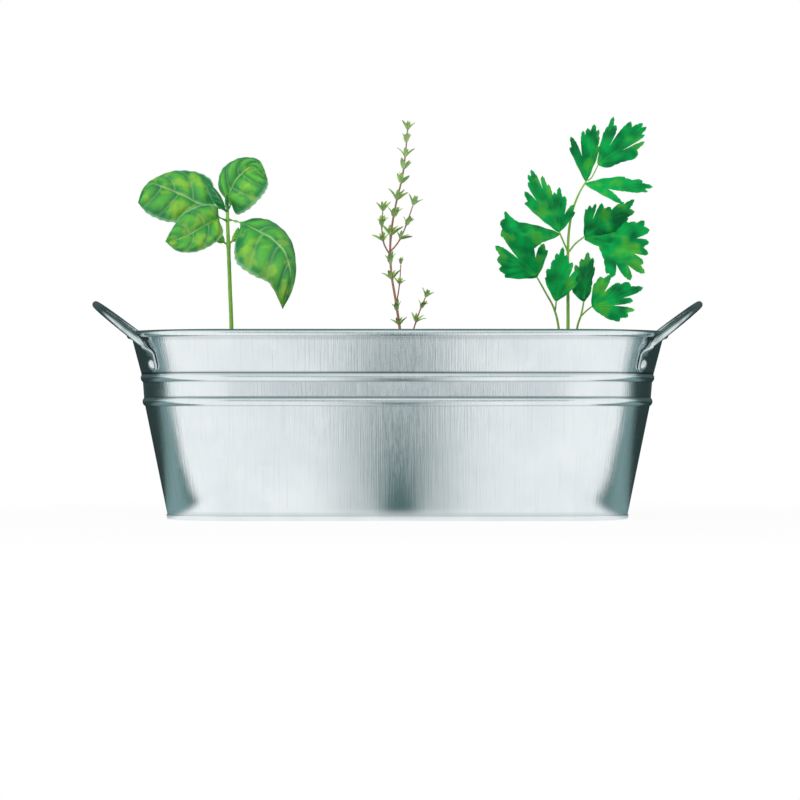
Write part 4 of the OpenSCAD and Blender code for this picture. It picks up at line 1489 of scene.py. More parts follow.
@dataclass
class Basil:
    """Young basil: one stem, two pairs of broad quilted leaves, tip leaves and side shoots."""

    origin: Vector = field(default_factory=lambda: Vector((-81.5, 0, 74.1)))
    stalk_d: float = 1.35
    blade: float = 0.42
    dome: float = 0.35
    rows: int = 132
    half_columns: int = 26
    vein_pairs: float = 3.7
    vein_slant: float = 1.25
    quilt: float = 1.5
    groove: float = 0.25

    def __post_init__(self) -> None:
        """Sets the stem."""
        points = ((0, 0, 0), (0, 0, 19), (-0.8, 0.2, 40), (-1.5, 0.3, 60), (-1.9, 0, 71), (-2, 0, 77))
        self.stem = Stem(points, 2.1, 1.6)

    def vein_map(self, s: float, v: float) -> tuple[float, float]:
        """Works out the veins and the quilting of the blade.

        Args:
            s: Place from the blade's base, 0, to its tip, 1.
            v: Place from the midrib, 0, to an edge, -1 or 1.

        Returns:
            How near the place is to a vein, and the quilt's height there.
        """
        off = abs(v)
        rib = hill(off, 0.022 + 0.02 * (1 - s))
        phase = (s - 0.04) * self.vein_pairs * (1 + 0.3 * s) - self.vein_slant * off**1.3
        phase += 0.22 if v < 0 else 0.0
        near = abs(phase - round(phase))
        reach = ease(-0.15, 0.1, phase) * ease(1.02, 0.75, off) * ease(1.0, 0.86, s)
        side = hill(near, 0.04 + 0.015 * off) * reach * (1 - 0.6 * off)
        full = 0.35 + 0.65 * math.sin(math.pi * clamp(off))
        pillow = math.sin(math.pi * min(1.0, near)) ** 0.8 * reach * full
        return max(rib, 0.55 * side), pillow

    def blade_ring(
        self,
        draft: MeshDraft,
        place: Vector,
        edges: tuple[Vector, Vector],
        up: Vector,
        thick: float,
        s: float,
        size: float,
        lift: float,
        dark: float | None = None,
    ) -> list[int]:
        """Adds one ring of a leaf, its upper side first.

        Args:
            draft: The leaf's draft.
            place: The midrib's point.
            edges: The ways to the two edges.
            up: Facing of the upper side.
            thick: Thickness at the midrib.
            s: Place from the blade's base to its tip, below 0 on the stalk.
            size: How strong the relief is.
            lift: How far the leaf domes up on each side of the midrib.
            dark: How deep its green is all over, or nothing for painted shade in the quilt's hollows beside
                the veins.

        Returns:
            The numbers of the ring's points.
        """
        count = self.half_columns
        ring = []
        for side, order in ((1, range(count, -count - 1, -1)), (-1, range(-count + 1, count))):
            for step in order:
                v = step / count
                edge = edges[0] if v >= 0 else edges[1]
                off = abs(v)
                near, pillow = self.vein_map(s, v) if s > 0 else (0.0, 0.0)
                on = ease(0, 0.12, s)
                shape = lift * edge.length * off * (1 - off)
                shape += size * on * (self.quilt * pillow - self.groove * near * (1 - 0.6 * off))
                wave = size * on * 0.5 * ease(0.5, 1, off) * noise.noise((place + off * edge) * 0.16)
                half = thick / 2 * math.sqrt(max(0.0, 1 - off**4)) * side
                if side < 0:
                    half -= 0.3 * size * on * near * (1 - off)
                p = place + off * edge + (half + shape + wave) * up
                # rim: a painted pale sheen along the leaf's edge.
                rim = ease(0.9, 1.0, off) * on * 0.7
                under = 0.75 * on if side < 0 else 0.0
                # hollow: painted shade in the quilt's hollows beside the veins, unless a dark tone is given.
                hollow = clamp(1.35 - pillow * 1.45 - near) * ease(0, 0.1, s) if dark is None else dark
                ring.append(draft.point(p, vein=near * on, rim=rim, under=under, hollow=hollow))
        return ring

    def leaf_seat(self, s: float, goal: Sequence[float]) -> Vector:
        """Returns the place where a leaf's stalk starts."""
        return self.stem.seat(min(s, 4.97), goal, self.stalk_d / 2)

    def broad_leaf(
        self,
        name: str,
        s: float,
        rib: Spots,
        plus: Spots,
        minus: Spots,
    ) -> bpy.types.Object:
        """Makes a large leaf laid over its midrib and its two edges.

        Args:
            name: Name of the piece.
            s: Where its stalk leaves the stem.
            rib: Midrib points from the blade's base to the tip.
            plus: Points on the edge to one side of it, without their ends.
            minus: The same on the other side.

        Returns:
            The dressed leaf.
        """
        mid = Rail([self.leaf_seat(s, rib[0]), *rib])
        foot = unit((mid.points[1] - mid.points[0]).cross(Vector((0, -1, 0.3)))) * self.stalk_d / 2
        ends = mid.points[:2]
        rails = [
            Rail([*(p + foot for p in ends), *plus, mid.points[-1]]),
            Rail([*(p - foot for p in ends), *minus, mid.points[-1]]),
        ]
        draft = MeshDraft(name, "vein", "rim", "under", "hollow")
        n = mid.last
        rings = []
        for k in range(self.rows + 1):
            q = n * min(k / self.rows, 0.997)
            p, d = mid.at(q), mid.heading(q)
            a, b = rails[0].at(q) - p, rails[1].at(q) - p
            up = unit((a - b).cross(d))
            thick = mix(self.stalk_d, self.blade, ease(0.5, 1.6, q))
            lift = self.dome * ease(0.8, 1.4, q)
            tooth = 1 + 0.012 * math.sin(15.0 * q) * ease(1.5, 2.5, q)
            edges = (a * tooth, b * tooth)
            share = (q - 0.95) / (n - 0.95)
            rings.append(self.blade_ring(draft, p, edges, up, thick, share, 1.0, lift))
        draft.tube(rings)
        return Finish.BASIL.dress(draft.build(self.origin, sharp=75))

    def bud_leaf(
        self,
        name: str,
        s: float,
        points: Spots,
        half: float,
        fold: float,
        face: Sequence[float],
        stalk: float,
        dark: float,
    ) -> bpy.types.Object:
        """Makes a small folded leaf of the growing tip or of a side shoot.

        Args:
            name: Name of the piece.
            s: Where its stalk leaves the stem.
            points: The last three control points of its midrib.
            half: Half its width.
            fold: Angle in degrees at which its halves bend down.
            face: Where its upper side looks.
            stalk: Share of its length that is stalk.
            dark: How deep its green is.

        Returns:
            The dressed leaf.
        """
        rib = [self.leaf_seat(s, points[0]), *(Vector(p) for p in points)]
        draft = MeshDraft(name, "vein", "rim", "under", "hollow")
        rings, rows = [], 34
        angle = math.radians(fold)
        for k in range(rows + 1):
            t = k / rows
            share = (t - stalk) / (1 - stalk)
            q = max(0.0, share)
            d = bezier_heading(rib, t)
            side = unit(d.cross(Vector(face)))
            up = unit(side.cross(d))
            width = max(0.45 * (1 - q), half * max(0.0, math.sin(math.pi * q**0.78)) ** 0.72, 0.12)
            edges = (
                width * (math.cos(angle) * side - math.sin(angle) * up),
                width * (-math.cos(angle) * side - math.sin(angle) * up),
            )
            thick = mix(0.8, self.blade, min(1.0, 5 * q))
            place = bezier(rib, t)
            rings.append(self.blade_ring(draft, place, edges, up, thick, share, 0.4, 0.2, dark))
        draft.tube(rings)
        return Finish.BASIL.dress(draft.build(self.origin, sharp=75))

    def build(self) -> None:
        """Makes the stem and every leaf in place of the CAD ones."""
        draft = MeshDraft("basil_stalk", "along")
        self.stem.grow(draft, 18, 14, (3.0, 4.15))
        piece = Finish.GREEN_STEM.dress(draft.build(self.origin, sharp=60))
        hand_over(piece, Finish.GREEN_STEM.slot, "basil_stem")
        leaves = (
            self.broad_leaf(
                "basil_blade_left",
                4.9,
                (
                    (-8.5, 1, 79.2), (-16, 1.5, 80.2), (-24, 2, 84.2), (-32, 1, 87.6),
                    (-40, -2, 89.4), (-45.5, -5, 80.4),
                ),
                ((-9.8, 6, 91.5), (-18, 9, 96.6), (-30, 8, 96.8), (-40.5, 2, 91)),
                ((-14.5, -3, 72.8), (-23, -5, 70.6), (-32, -6, 71.3), (-40.5, -6, 74.8)),
            ),
            self.broad_leaf(
                "basil_blade_top",
                5,
                (
                    (-0.6, 1.5, 80), (-0.8, 2.5, 86), (2.5, 3.5, 92.5), (7, 3.5, 97),
                    (11.5, 0.5, 98), (18, -7, 92),
                ),
                ((2.6, -1, 74.9), (8.8, -4, 77.3), (15.2, -7, 83.4), (18.3, -8, 88.6)),
                ((-6.6, 3, 88.4), (-4.8, 5, 97.8), (4, 5, 103.2), (13.5, 1, 101.8)),
            ),
            self.broad_leaf(
                "basil_blade_front",
                4.1,
                (
                    (-5.8, -5, 73), (-10.5, -9.5, 70.2), (-16.5, -14, 66), (-22.5, -17.5, 62.4),
                    (-27.5, -19, 60.8), (-31, -19.5, 60.6),
                ),
                ((-6.8, -6, 78.8), (-14, -9.5, 79), (-23, -13.5, 74.2), (-28.6, -17.5, 65.6)),
                ((-3.6, -10, 65), (-9, -16, 58.8), (-17, -20.5, 55.3), (-25.3, -21.5, 55.8)),
            ),
            self.broad_leaf(
                "basil_blade_right",
                4.2,
                (
                    (4.5, -1.5, 70.7), (12.9, -5, 66.6), (20.6, -9, 62.1), (26.6, -12.5, 55.2),
                    (29, -14.5, 44.5), (25.7, -14.5, 28),
                ),
                ((1.8, -8, 58), (3.5, -13, 50.2), (11, -16.5, 44.4), (19.5, -17, 40)),
                ((12, -0.5, 73.2), (22, 1, 70.5), (30.2, -1, 60), (31.4, -8, 42.5)),
            ),
        )
        for piece in leaves:
            hand_over(piece, Finish.BASIL.slot, piece.name.replace("blade", "leaf"))
        buds = {
            "basil_tip_leaf_left": (
                4.6, ((-5, -3, 81), (-8, -5, 86), (-12.3, -4, 90.7)),
                3.2, 30, (0.4, -0.9, 0.3), 0.1, 2.2,
            ),
            "basil_tip_leaf_right": (
                4.75, ((-1.2, -3.4, 79), (-1.4, -5.4, 81.5), (-2.4, -6.6, 84.5)),
                2.2, 30, (0.2, -0.7, 0.9), 0.1, 2.2,
            ),
            "basil_side_shoot_left": (
                3, ((-4.2, -0.4, 61.5), (-6, -1, 64.5), (-7.4, -1.6, 68)),
                2.9, 25, (0.5, -0.8, 0.3), 0.22, 0.0,
            ),
            "basil_side_shoot_right": (
                3.05, ((1, -0.4, 62), (2.6, -1, 65), (3.4, -1.4, 68.5)),
                2.5, 25, (-0.5, -0.8, 0.3), 0.22, 0.0,
            ),
        }
        for node, sizes in buds.items():
            hand_over(self.bud_leaf(f"{node}_blade", *sizes), Finish.BASIL.slot, node)


# Thyme


@dataclass
class Thyme:
    """Thyme: a wiry main stem that forks, low shoots and rings of small leaves."""

    origin: Vector = field(default_factory=lambda: Vector((2, 0, 74.1)))
    stem_d: float = 1.4
    slim: float = 0.2
    blade: float = 0.35
    fuller: float = 1.15
    whorl: int = 6

    def __post_init__(self) -> None:
        """Sets the stems."""
        d = self.stem_d
        points = (
            (0, 0, 0), (-0.5, 0, 15), (-2.6, 0.3, 31), (-5.1, 1, 47), (-5.4, 1.5, 63),
            (-3, 0.6, 79), (0.4, -0.5, 93.5), (1.9, 0.4, 105), (3, 1.4, 117),
        )
        self.main = Stem(points, d, 0.5 * d)
        left = ((-8.6, -2, 60.5), (-9.7, -4.5, 68), (-9.2, -6.5, 76))
        right = ((-1.4, 4.5, 62), (1.8, 7, 69), (5.6, 8.5, 80))
        low = ((-1.5, -3.6, 37), (-0.8, -6, 43), (-0.4, -7, 50))
        self.left = self.main.branch(3.5, left, 0.6 * d, 0.4 * d)
        self.right = self.main.branch(3.6, right, 0.6 * d, 0.4 * d)
        self.low = self.main.branch(2, low, 0.5 * d, 0.35 * d)
        self.young = Stem(((4, -3, 0), (4.9, -3.4, 14), (8, -4.4, 25), (11.6, -5, 34)), 0.6 * d, 0.4 * d)

    def small_leaf(
        self, draft: MeshDraft, start: Vector, d: Vector, up: Vector, length: float, half: float, curl: float
    ) -> None:
        """Adds one small pointed leaf with rolled-down edges.

        Args:
            draft: The draft of its ring.
            start: The leaf's foot.
            d: Direction that it grows in.
            up: Facing of its upper side.
            length: Its length.
            half: Half its width.
            curl: How far its tip bends over.
        """
        side = unit(d.cross(up))
        rise = unit(side.cross(d))
        rings = []
        for i in range(11):
            s = i / 10
            width = half * max(0.1 if i else 0.25, math.sin(math.pi * s**0.85) ** 0.58)
            mid = start + s * length * d + (0.22 * math.sin(math.pi * s) - curl * s * s) * half * 2 * rise
            ring = []
            for j in range(12):
                a = 2 * math.pi * j / 12
                v = math.cos(a)
                top = math.sin(a) >= -0.01
                h = self.blade / 2 * math.sin(a) - 0.45 * width * v * v
                if top:
                    h -= 0.12 * hill(v, 0.25)
                near = hill(v, 0.22) * 0.8 * math.sin(math.pi * s)
                # rim is a painted pale sheen along the edges; hollow is painted shade, darkest towards the
                # leaf's foot and halfway out to its rolled edges.
                ring.append(
                    draft.point(
                        mid + width * v * side + h * rise,
                        vein=near if top else 0.0,
                        rim=0.5 * ease(0.8, 1, abs(v)),
                        under=0.0 if top else 0.7,
                        hollow=0.6 * hill(abs(v) - 0.5, 0.3) + 0.4 * (1 - s),
                    )
                )
            rings.append(ring)
        draft.tube(rings)

    def leaf_rings(
        self, draft: MeshDraft, stem: Stem, start: float, end: float, rings: int, low: float, top: float
    ) -> None:
        """Adds rings of leaves round a stem, two long and the rest short and steep.

        Args:
            draft: The draft of these leaves.
            stem: The stem that carries them.
            start: Place of the first ring along the stem.
            end: Place of the last ring.
            rings: How many rings.
            low: Length of a long leaf at the first ring.
            top: The same at the last ring.
        """
        rng = random.Random(len(draft.name) + rings)
        for k in range(rings):
            f = k / (rings - 1) if rings > 1 else 1.0
            s = mix(start, end, f)
            d = stem.heading(s)
            east = unit(d.cross(Vector((0, 1, 0.01))))
            north = unit(east.cross(d))
            full = mix(low, top, f)
            for j in range(self.whorl):
                long = j % 2 == 0 and j < 4
                size = self.fuller * full * (1 if long else rng.uniform(0.6, 0.85))
                a = math.radians(90 * j + 70 * k + 20 + (45 if j > 3 else 0) + rng.uniform(-12, 12))
                out = math.cos(a) * east + math.sin(a) * north
                rise = math.radians((47 if long else 58) + 12 * f + (10 if j > 3 else 0))
                go = math.cos(rise) * out + math.sin(rise) * d
                reach = 0.6 * stem.radius(s) / math.cos(rise)
                foot = stem.at(s) + reach * go
                curl = rng.uniform(0.1, 0.5)
                self.small_leaf(draft, foot, go, d, size, self.slim * size, curl)

    def build(self) -> None:
        """Makes the stems and their leaves in place of the CAD ones."""
        stems = {
            "main_stem": (self.main, (3.5, 4.1, 5.3, 6.4)),
            "left_branch": (self.left, (1.2, 2.1)),
            "right_branch": (self.right, (1.2, 2.1)),
            "low_branch": (self.low, (1.6,)),
            "young_branch": (self.young, (1.7, 2.4)),
        }
        for name, (stem, knots) in stems.items():
            draft = MeshDraft(f"thyme_twig_{name}", "along")
            stem.grow(draft, 10, 12, knots)
            piece = Finish.TWIG.dress(draft.build(self.origin, sharp=60))
            hand_over(piece, Finish.TWIG.slot, f"thyme_{name}")
        groups = {
            "main": (
                (self.main, 4.1, 7.93, 8, 6.5, 4.6),
                (self.main, 2.75, 3.2, 2, 5.4, 5.6),
                (self.main, 1.35, 1.75, 2, 4.4, 4.8),
            ),
            "left": ((self.left, 1.2, 3, 3, 5.2, 5),),
            "right": ((self.right, 1.2, 3, 3, 5.2, 5),),
            "low": ((self.low, 1.6, 3, 2, 3.6, 3.4),),
            "young": ((self.young, 1.7, 3, 3, 4.6, 4.2),),
        }
        for name, sets in groups.items():
            draft = MeshDraft(f"thyme_foliage_{name}", "vein", "rim", "under", "hollow")
            for sizes in sets:
                self.leaf_rings(draft, *sizes)
            piece = Finish.THYME.dress(draft.build(self.origin, sharp=80))
            hand_over(piece, Finish.THYME.slot, f"thyme_{name}_leaves")


# Parsley


@dataclass
class LobedLeaf:
    """A parsley leaf drawn in the front view.

    The tooth tips run from left to right, each with the share of the way out that the notch
    after it reaches.
    """

    start: Vector
    face: Sequence[float]
    tips: Spots
    centre: Sequence[float] = ()
    foot: float = 0.5
    droop: float = 0.1
    fold: float = math.radians(10)
    blade: float = 0.36
    step: float = 0.42
    bulge: float = 0.06
    tooth: float = 2.3
    tooth_out: float = 0.68
    deeper: float = 0.045
    cleft_deeper: float = 0.13
    cleft_close: float = 0.6
    tone: float = 0.0
    rings: int = 20

    def __post_init__(self) -> None:
        """Works out the leaf's axis, its middle and its veins."""
        self.n = unit(Vector(self.face))
        self.base = Vector((self.start.x, self.start.z))
        spots = [Vector((tip[0], tip[1])) for tip in self.tips]
        mean = sum(spots, Vector((0, 0))) / len(spots)
        self.goal = unit(mean - self.base)
        self.origin = self.base + 0.1 * self.goal
        self.middle = Vector(self.centre) if self.centre else self.origin + 2 * self.foot * self.goal
        self.veins = self.vein_lines(spots)

    def vein_lines(self, spots: Sequence[Vector]) -> list[tuple[Vector, Vector, float]]:
        """Draws the veins: one for each lobe, with side veins.

        Args:
            spots: The tooth tips in the front view.

        Returns:
            The start, end and strength of each vein.
        """
        lobes: list[list[Vector]] = [[]]
        for spot, tip in zip(spots, self.tips):
            share = tip[2] if len(tip) > 2 else 0.0
            if share < 0.995:
                lobes[-1].append(spot)
            if share < 0.84 and lobes[-1]:
                lobes.append([])
        lines = []
        for lobe in lobes:
            if not lobe:
                continue
            head = max(lobe, key=lambda spot: (spot - self.base).length)
            lines.append((self.base, head, 1.0))
            for spot in lobe:
                if spot is not head:
                    reach = (spot - self.base).length / (head - self.base).length
                    root = mix(self.base, head, clamp(reach - 0.42, 0.2, 0.7))
                    lines.append((root, spot, 0.7))
        return lines

    @staticmethod
    def is_cleft(tip: Sequence[float]) -> bool:
        """Returns whether a lobe ends after this tooth."""
        return len(tip) > 2 and 0.3 < tip[2] < 0.84

    def mouth(self, number: int) -> float:
        """Measures the cleft beside an edge of the outline.

        Args:
            number: The edge's number along the outline.

        Returns:
            The width, 0 where there is no cleft.
        """
        k = (number - 1) // 2
        tip, after = self.tips[k], self.tips[k + 1]
        return math.hypot(tip[0] - after[0], tip[1] - after[1]) if self.is_cleft(tip) else 0.0

    def outline(self) -> list[Vector]:
        """Draws the edge with full lobes and soft tooth tips.

        Returns:
            The points, about the middle.
        """
        side = self.foot * Vector((-self.goal.y, self.goal.x))
        corners = [self.origin + side - self.middle]
        for i, tip in enumerate(self.tips):
            corners.append(Vector((tip[0], tip[1])) - self.middle)
            if i < len(self.tips) - 1:
                after = self.tips[i + 1]
                depth = tip[2] - self.deeper * (1 if 0.85 < tip[2] < 0.995 else 0)
                depth -= self.cleft_deeper if self.is_cleft(tip) else 0
                notch = Vector(((tip[0] + after[0]) / 2, (tip[1] + after[1]) / 2))
                corners.append(depth * (notch - self.middle))
        corners.append(self.origin - side - self.middle)
        edge = []
        last = len(corners) - 2
        for number, (a, b) in enumerate(zip(corners, corners[1:])):
            length = (b - a).length
            count = max(2, round(length / self.step))
            out = Vector((a.y - b.y, b.x - a.x)) / length
            smooth = number in (0, last) or self.tips[(number - 1) // 2][2] > 0.995
            inward = number % 2 == 1
            mouth = self.mouth(number) if 0 < number < last else 0.0
            for i in range(count):
                t = i / count
                up = 1 - t if inward else t
                teeth = max(1, round(length / self.tooth))
                part = (t * teeth) % 1.0
                saw = part if inward else 1 - part
                nick = self.tooth_out * (saw**0.7 - 0.35) * ease(1.6, 4.2, length)
                nick = nick * ease(0, 0.12, t) * ease(1, 0.88, t)
                p = mix(a, b, t)
                swell = self.bulge * 4 * t * (1 - t) * min(length, 8)
                if mouth:
                    swell = self.cleft_close * mouth / 2 * up * (1 - up * up)
                    nick *= ease(0.35, 0.75, up)
                shift = swell + (0.12 * math.sin(2 * math.pi * t * length / 7) if smooth else nick)
                edge.append(p + shift * out)
        edge.append(corners[-1])
        soft = [0.2 * a + 0.6 * b + 0.2 * c for a, b, c in zip(edge, edge[1:], edge[2:])]
        return [edge[0], *soft, edge[-1]]

    def vein_at(self, q: Vector) -> tuple[float, float]:
        """Looks for the vein beside a place.

        Args:
            q: The place in the front view.

        Returns:
            How near it is to a vein, and its distance from the nearest one.
        """
        best, nearest = 0.0, 99.0
        for a, b, strength in self.veins:
            run = b - a
            t = clamp((q - a).dot(run) / run.length_squared)
            d = (q - a - t * run).length
            best = max(best, strength * hill(d, mix(0.42, 0.2, t)) * (1 - 0.5 * t))
            nearest = min(nearest, d)
        return best, nearest

    def lift(self, edge_point: Vector, ring: float, out: float) -> tuple[Vector, dict[str, float]]:
        """Places a point of the leaf.

        Args:
            edge_point: The outline's point about the middle.
            ring: Share of the way out to it.
            out: Height over the leaf's own mid-surface, above 0 on its upper side.

        Returns:
            The place, and the values that the finish reads.
        """
        bend = ring * edge_point
        q = self.middle + bend
        d = q - self.base
        off = abs(bend.x * self.goal.y - bend.y * self.goal.x)
        near, far = self.vein_at(q)
        pillow = 1 - hill(far, 1.7)
        n = self.n
        h = out * (1.1 - ring) - self.droop * bend.length_squared / self.reach + off * math.sin(self.fold)
        wave = noise.noise(Vector((q.x, q.y, n.x * 9)) * 0.13)
        cloud = noise.noise(Vector((q.x, q.y, n.z * 40)) * 0.17)
        h += ease(0.02, 0.2, ring) * (0.34 * pillow - 0.18 * near + 0.6 * wave)
        place = self.start + Vector((d.x, -(n.x * d.x + n.z * d.y) / n.y, d.y)) + h * n
        # Painted shade: darker beside the sunken veins, with random clouds and the leaf's own tone added.
        shade = max(0.0, 0.45 + self.tone + 0.25 * hill(far, 0.8) + 1.1 * cloud)
        values = {
            "vein": near if out > 0 else 0.6 * near,
            # rim: a painted pale sheen along the leaf's edge.
            "rim": 0.55 * ease(0.93, 1.0, ring),
            "under": 0.7 if out < 0 else 0.0,
            "hollow": shade * ease(0.02, 0.3, ring),
        }
        return place, values

    def make(self, name: str, origin: Vector) -> bpy.types.Object:
        """Makes the leaf with an upper and a lower side joined at the edge.

        Args:
            name: Name of the piece.
            origin: The plant's place in the frame.

        Returns:
            The dressed leaf.
        """
        edge = self.outline()
        self.reach = max(p.length for p in edge)
        draft = MeshDraft(name, "vein", "rim", "under", "hollow")
        shells = []
        for out in (-1, 1):
            shell = []
            for k in range(1, self.rings + 1):
                ring = (k / self.rings) ** 0.8
                if ring < 1 or out < 0:
                    row = []
                    for p in edge:
                        place, values = self.lift(p, ring, out * self.blade / 2 if ring < 1 else 0.0)
                        row.append(draft.point(place, **values))
                    shell.append(row)
            shells.append(shell)
        hubs = []
        for out in (-1, 1):
            place, values = self.lift(edge[0], 0.0, out * self.blade / 2)
            hubs.append(draft.point(place, **values))
        draft.quads([*shells[0], *shells[1][::-1]], closed=True)
        draft.fan(shells[0][0], hubs[0], flip=True)
        draft.fan(shells[1][0], hubs[1])
        return Finish.PARSLEY.dress(draft.build(origin, sharp=80))


@dataclass
class Parsley:
    """Parsley: three stems from one crown, side stalks and lobed, toothed leaves."""

    origin: Vector = field(default_factory=lambda: Vector((83.5, 0, 74.1)))
    stem_d: float = 1.8

    def __post_init__(self) -> None:
        """Sets the stems and stalks."""
        d = self.stem_d
        points = (
            (0, 0, 0), (0.2, 0, 20), (0.2, 0.4, 40), (0.2, 0.5, 56), (0.6, 0.2, 66),
            (2.2, -0.5, 76), (5.2, -1.6, 84.5), (8.9, -3, 91),
        )
        self.main = Stem(points, d, 0.45 * d)
        left = ((-3.4, 1.5, 0), (-4.2, 0.8, 18), (-6.6, -1.2, 28.4), (-10.7, -3.6, 36), (-15.2, -5.6, 43.8))
        right = ((3.4, -1.5, 0), (4.4, -1.8, 18), (6.6, -2.8, 26), (7.7, -3.4, 32))
        self.left = Stem(left, 0.7 * d, 0.45 * d)
        self.left_fork = self.left.branch(1.9, ((-6, -3.2, 29.6), (-5.8, -4.4, 32.1)), 0.45 * d, 0.4 * d)
        self.right = Stem(right, 0.7 * d, 0.45 * d)
        self.right_fork = self.right.branch(1.8, ((8.8, -5, 27.4), (11.4, -7, 29.5)), 0.45 * d, 0.4 * d)
        self.left_stalk = self.main.branch(3.05, ((-2.2, -2.6, 61.5), (-4.3, -5, 65.9)), 0.5 * d, 0.45 * d)
        self.right_stalk = self.main.branch(3, ((4, 2.8, 60.8), (8.6, 5, 64.4)), 0.5 * d, 0.45 * d)
        self.top_stalk = self.main.branch(6.85, ((11.8, -3.6, 93.2), (14.6, -4.6, 98.8)), 0.4 * d, 0.35 * d)

    def leaves(self) -> dict[str, LobedLeaf]:
        """Draws every leaf.

        Returns:
            The leaves, each by the end of its node's name.
        """
        return {
            "top_left": LobedLeaf(
                self.main.tip,
                (0.16, -0.97, 0.18),
                (
                    (0.5, 107, 0.93), (1.5, 113.5, 0.62), (8, 117, 0.88), (10.5, 118.5, 0.93),
                    (14, 120.5, 0.93), (16, 117.5, 0.8), (16, 114, 0.62), (16.5, 109.5),
                ),
            ),
            "top_right": LobedLeaf(
                self.top_stalk.tip,
                (-0.27, -0.96, -0.04),
                (
                    (17.5, 115, 0.95), (19, 117.5, 0.92), (22, 122.5, 0.93), (23.5, 118, 0.55),
                    (30, 120, 0.9), (35.5, 119, 0.97), (37.5, 117, 0.93), (37, 113, 0.62),
                    (37, 110, 0.93), (34, 103.5, 1), (32.5, 101.5, 1), (26, 100, 1), (20, 97.5),
                ),
            ),
            "top_side": LobedLeaf(
                self.main.seat(6.7, (20, -6, 91), 0.4),
                (-0.2, -0.91, 0.36),
                (
                    (27.5, 93, 0.96), (31, 91.5, 0.96), (36, 91.5, 0.93), (41, 88.5, 0.9),
                    (38.5, 86, 0.93), (35, 85.5, 0.22), (27.5, 78, 0.93), (24.5, 79.5),
                ),
                (16, 88.5),
                tone=-0.4,
            ),
            "upper_left": LobedLeaf(
                self.left_stalk.tip,
                (-0.11, -0.99, -0.12),
                (
                    (-21.5, 80, 0.93), (-21.5, 86, 0.8), (-20, 90.5, 0.95), (-20, 94, 0.96),
                    (-18.5, 96.5, 0.82), (-13, 93.5, 0.82), (-10, 89.5, 0.72), (-7, 85.5, 0.9),
                    (-4.5, 88, 0.9), (-1.5, 83.5, 0.66), (3, 79.5, 0.93), (3.5, 75.5),
                ),
            ),
            "outer_left": LobedLeaf(
                self.left_stalk.seat(1.8, (-12, -3, 68), 0.4),
                (-0.25, -0.92, 0.29),
                (
                    (-12.5, 61, 1), (-17, 57.5, 1), (-29.5, 60.5, 0.9), (-33, 65, 0.93),
                    (-33, 72, 0.9), (-30.5, 77, 0.93), (-27.5, 74, 0.96), (-25, 72, 0.97),
                    (-22.5, 71),
                ),
                (-22, 65),
                tone=0.1,
            ),
            "low_left": LobedLeaf(
                self.left.tip,
                (-0.06, -0.96, -0.26),
                (
                    (-31, 44, 0.95), (-34, 48, 0.93), (-35, 52.5, 0.93), (-36, 59, 0.6),
                    (-33, 66, 0.9), (-27, 66.5, 0.95), (-20.5, 65, 0.62), (-12, 60.5, 0.95),
                    (-10, 57),
                ),
            ),
            "mid_right": LobedLeaf(
                self.right_stalk.tip,
                (0.3, -0.95, 0.08),
                (
                    (8.5, 78, 0.94), (11, 80, 0.9), (14.5, 81, 0.62), (17.5, 81.5, 0.9),
                    (22.5, 79.5, 0.72), (29.5, 82.5, 0.9), (35, 84, 0.92), (34.5, 77.5, 0.93),
                    (31, 74, 1), (24.5, 67, 1), (17, 65),
                ),
                tone=0.3,
            ),
            "outer_right": LobedLeaf(
                self.right_stalk.seat(1.8, (16, 3, 63), 0.4),
                (-0.15, -0.94, 0.3),
                (
                    (17, 64.5, 1), (24, 66, 1), (29, 71.5, 0.97), (33.5, 71.5, 0.93),
                    (38, 72, 0.95), (40.5, 67.5, 0.8), (40, 61.5, 0.88), (39.5, 56, 0.8),
                    (37, 51, 0.93), (37.5, 46, 0.78), (30.5, 42, 0.7), (21.5, 43, 0.95),
                    (19, 45, 1), (18, 52.5, 1), (15.5, 59.5),
                ),
                (21, 60),
            ),
            "low_middle": LobedLeaf(
                self.left_fork.tip,
                (-0.16, -0.98, -0.16),
                (
                    (-11.5, 43.5, 0.93), (-10.5, 48, 0.9), (-7.5, 52.5, 0.95), (-6, 55.5, 0.93),
                    (-3, 58.5, 0.93), (-1, 54.5, 0.9), (2, 51, 0.8), (4.5, 47, 0.9), (5, 41),
                ),
                tone=-0.3,
            ),
            "low_inner": LobedLeaf(
                self.right.tip,
                (0.21, -0.97, 0.09),
                (
                    (2, 36.5, 0.95), (1.5, 45.5, 0.93), (4, 50.5, 0.86), (7, 53.5, 0.93),
                    (10.5, 57, 0.93), (13, 54, 0.9), (13.5, 49.5, 0.86), (12, 43, 0.95),
                    (11.5, 38),
                ),
                tone=0.45,
            ),
            "low_right": LobedLeaf(
                self.right_fork.tip,
                (-0.36, -0.91, 0.18),
                (
                    (13, 40.5, 0.95), (16, 44, 0.93), (21, 45, 0.62), (25, 41, 0.93),
                    (29, 41.5, 0.93), (35.5, 39, 0.78), (31, 32, 0.62), (32, 27.5, 0.93),
                    (29, 24, 0.93), (25, 21.5, 1), (19.5, 23, 1), (15.5, 25.8),
                ),
                tone=-0.15,
            ),
        }

    def build(self) -> None:
        """Makes the stems, stalks and leaves in place of the CAD ones."""
        stems = {
            "main_stem": (self.main,),
            "left_stem": (self.left, self.left_fork),
            "right_stem": (self.right, self.right_fork),
            "left_stalk": (self.left_stalk,),
            "right_stalk": (self.right_stalk,),
            "top_stalk": (self.top_stalk,),
        }
        for name, group in stems.items():
            draft = MeshDraft(f"parsley_{name}_smooth", "along")
            for stem in group:
                stem.grow(draft)
            piece = Finish.GREEN_STEM.dress(draft.build(self.origin, sharp=60))
            hand_over(piece, Finish.GREEN_STEM.slot, f"parsley_{name}")
        for name, leaf in self.leaves().items():
            piece = leaf.make(f"parsley_blade_{name}", self.origin)
            hand_over(piece, Finish.PARSLEY.slot, f"parsley_leaf_{name}")


# Studio


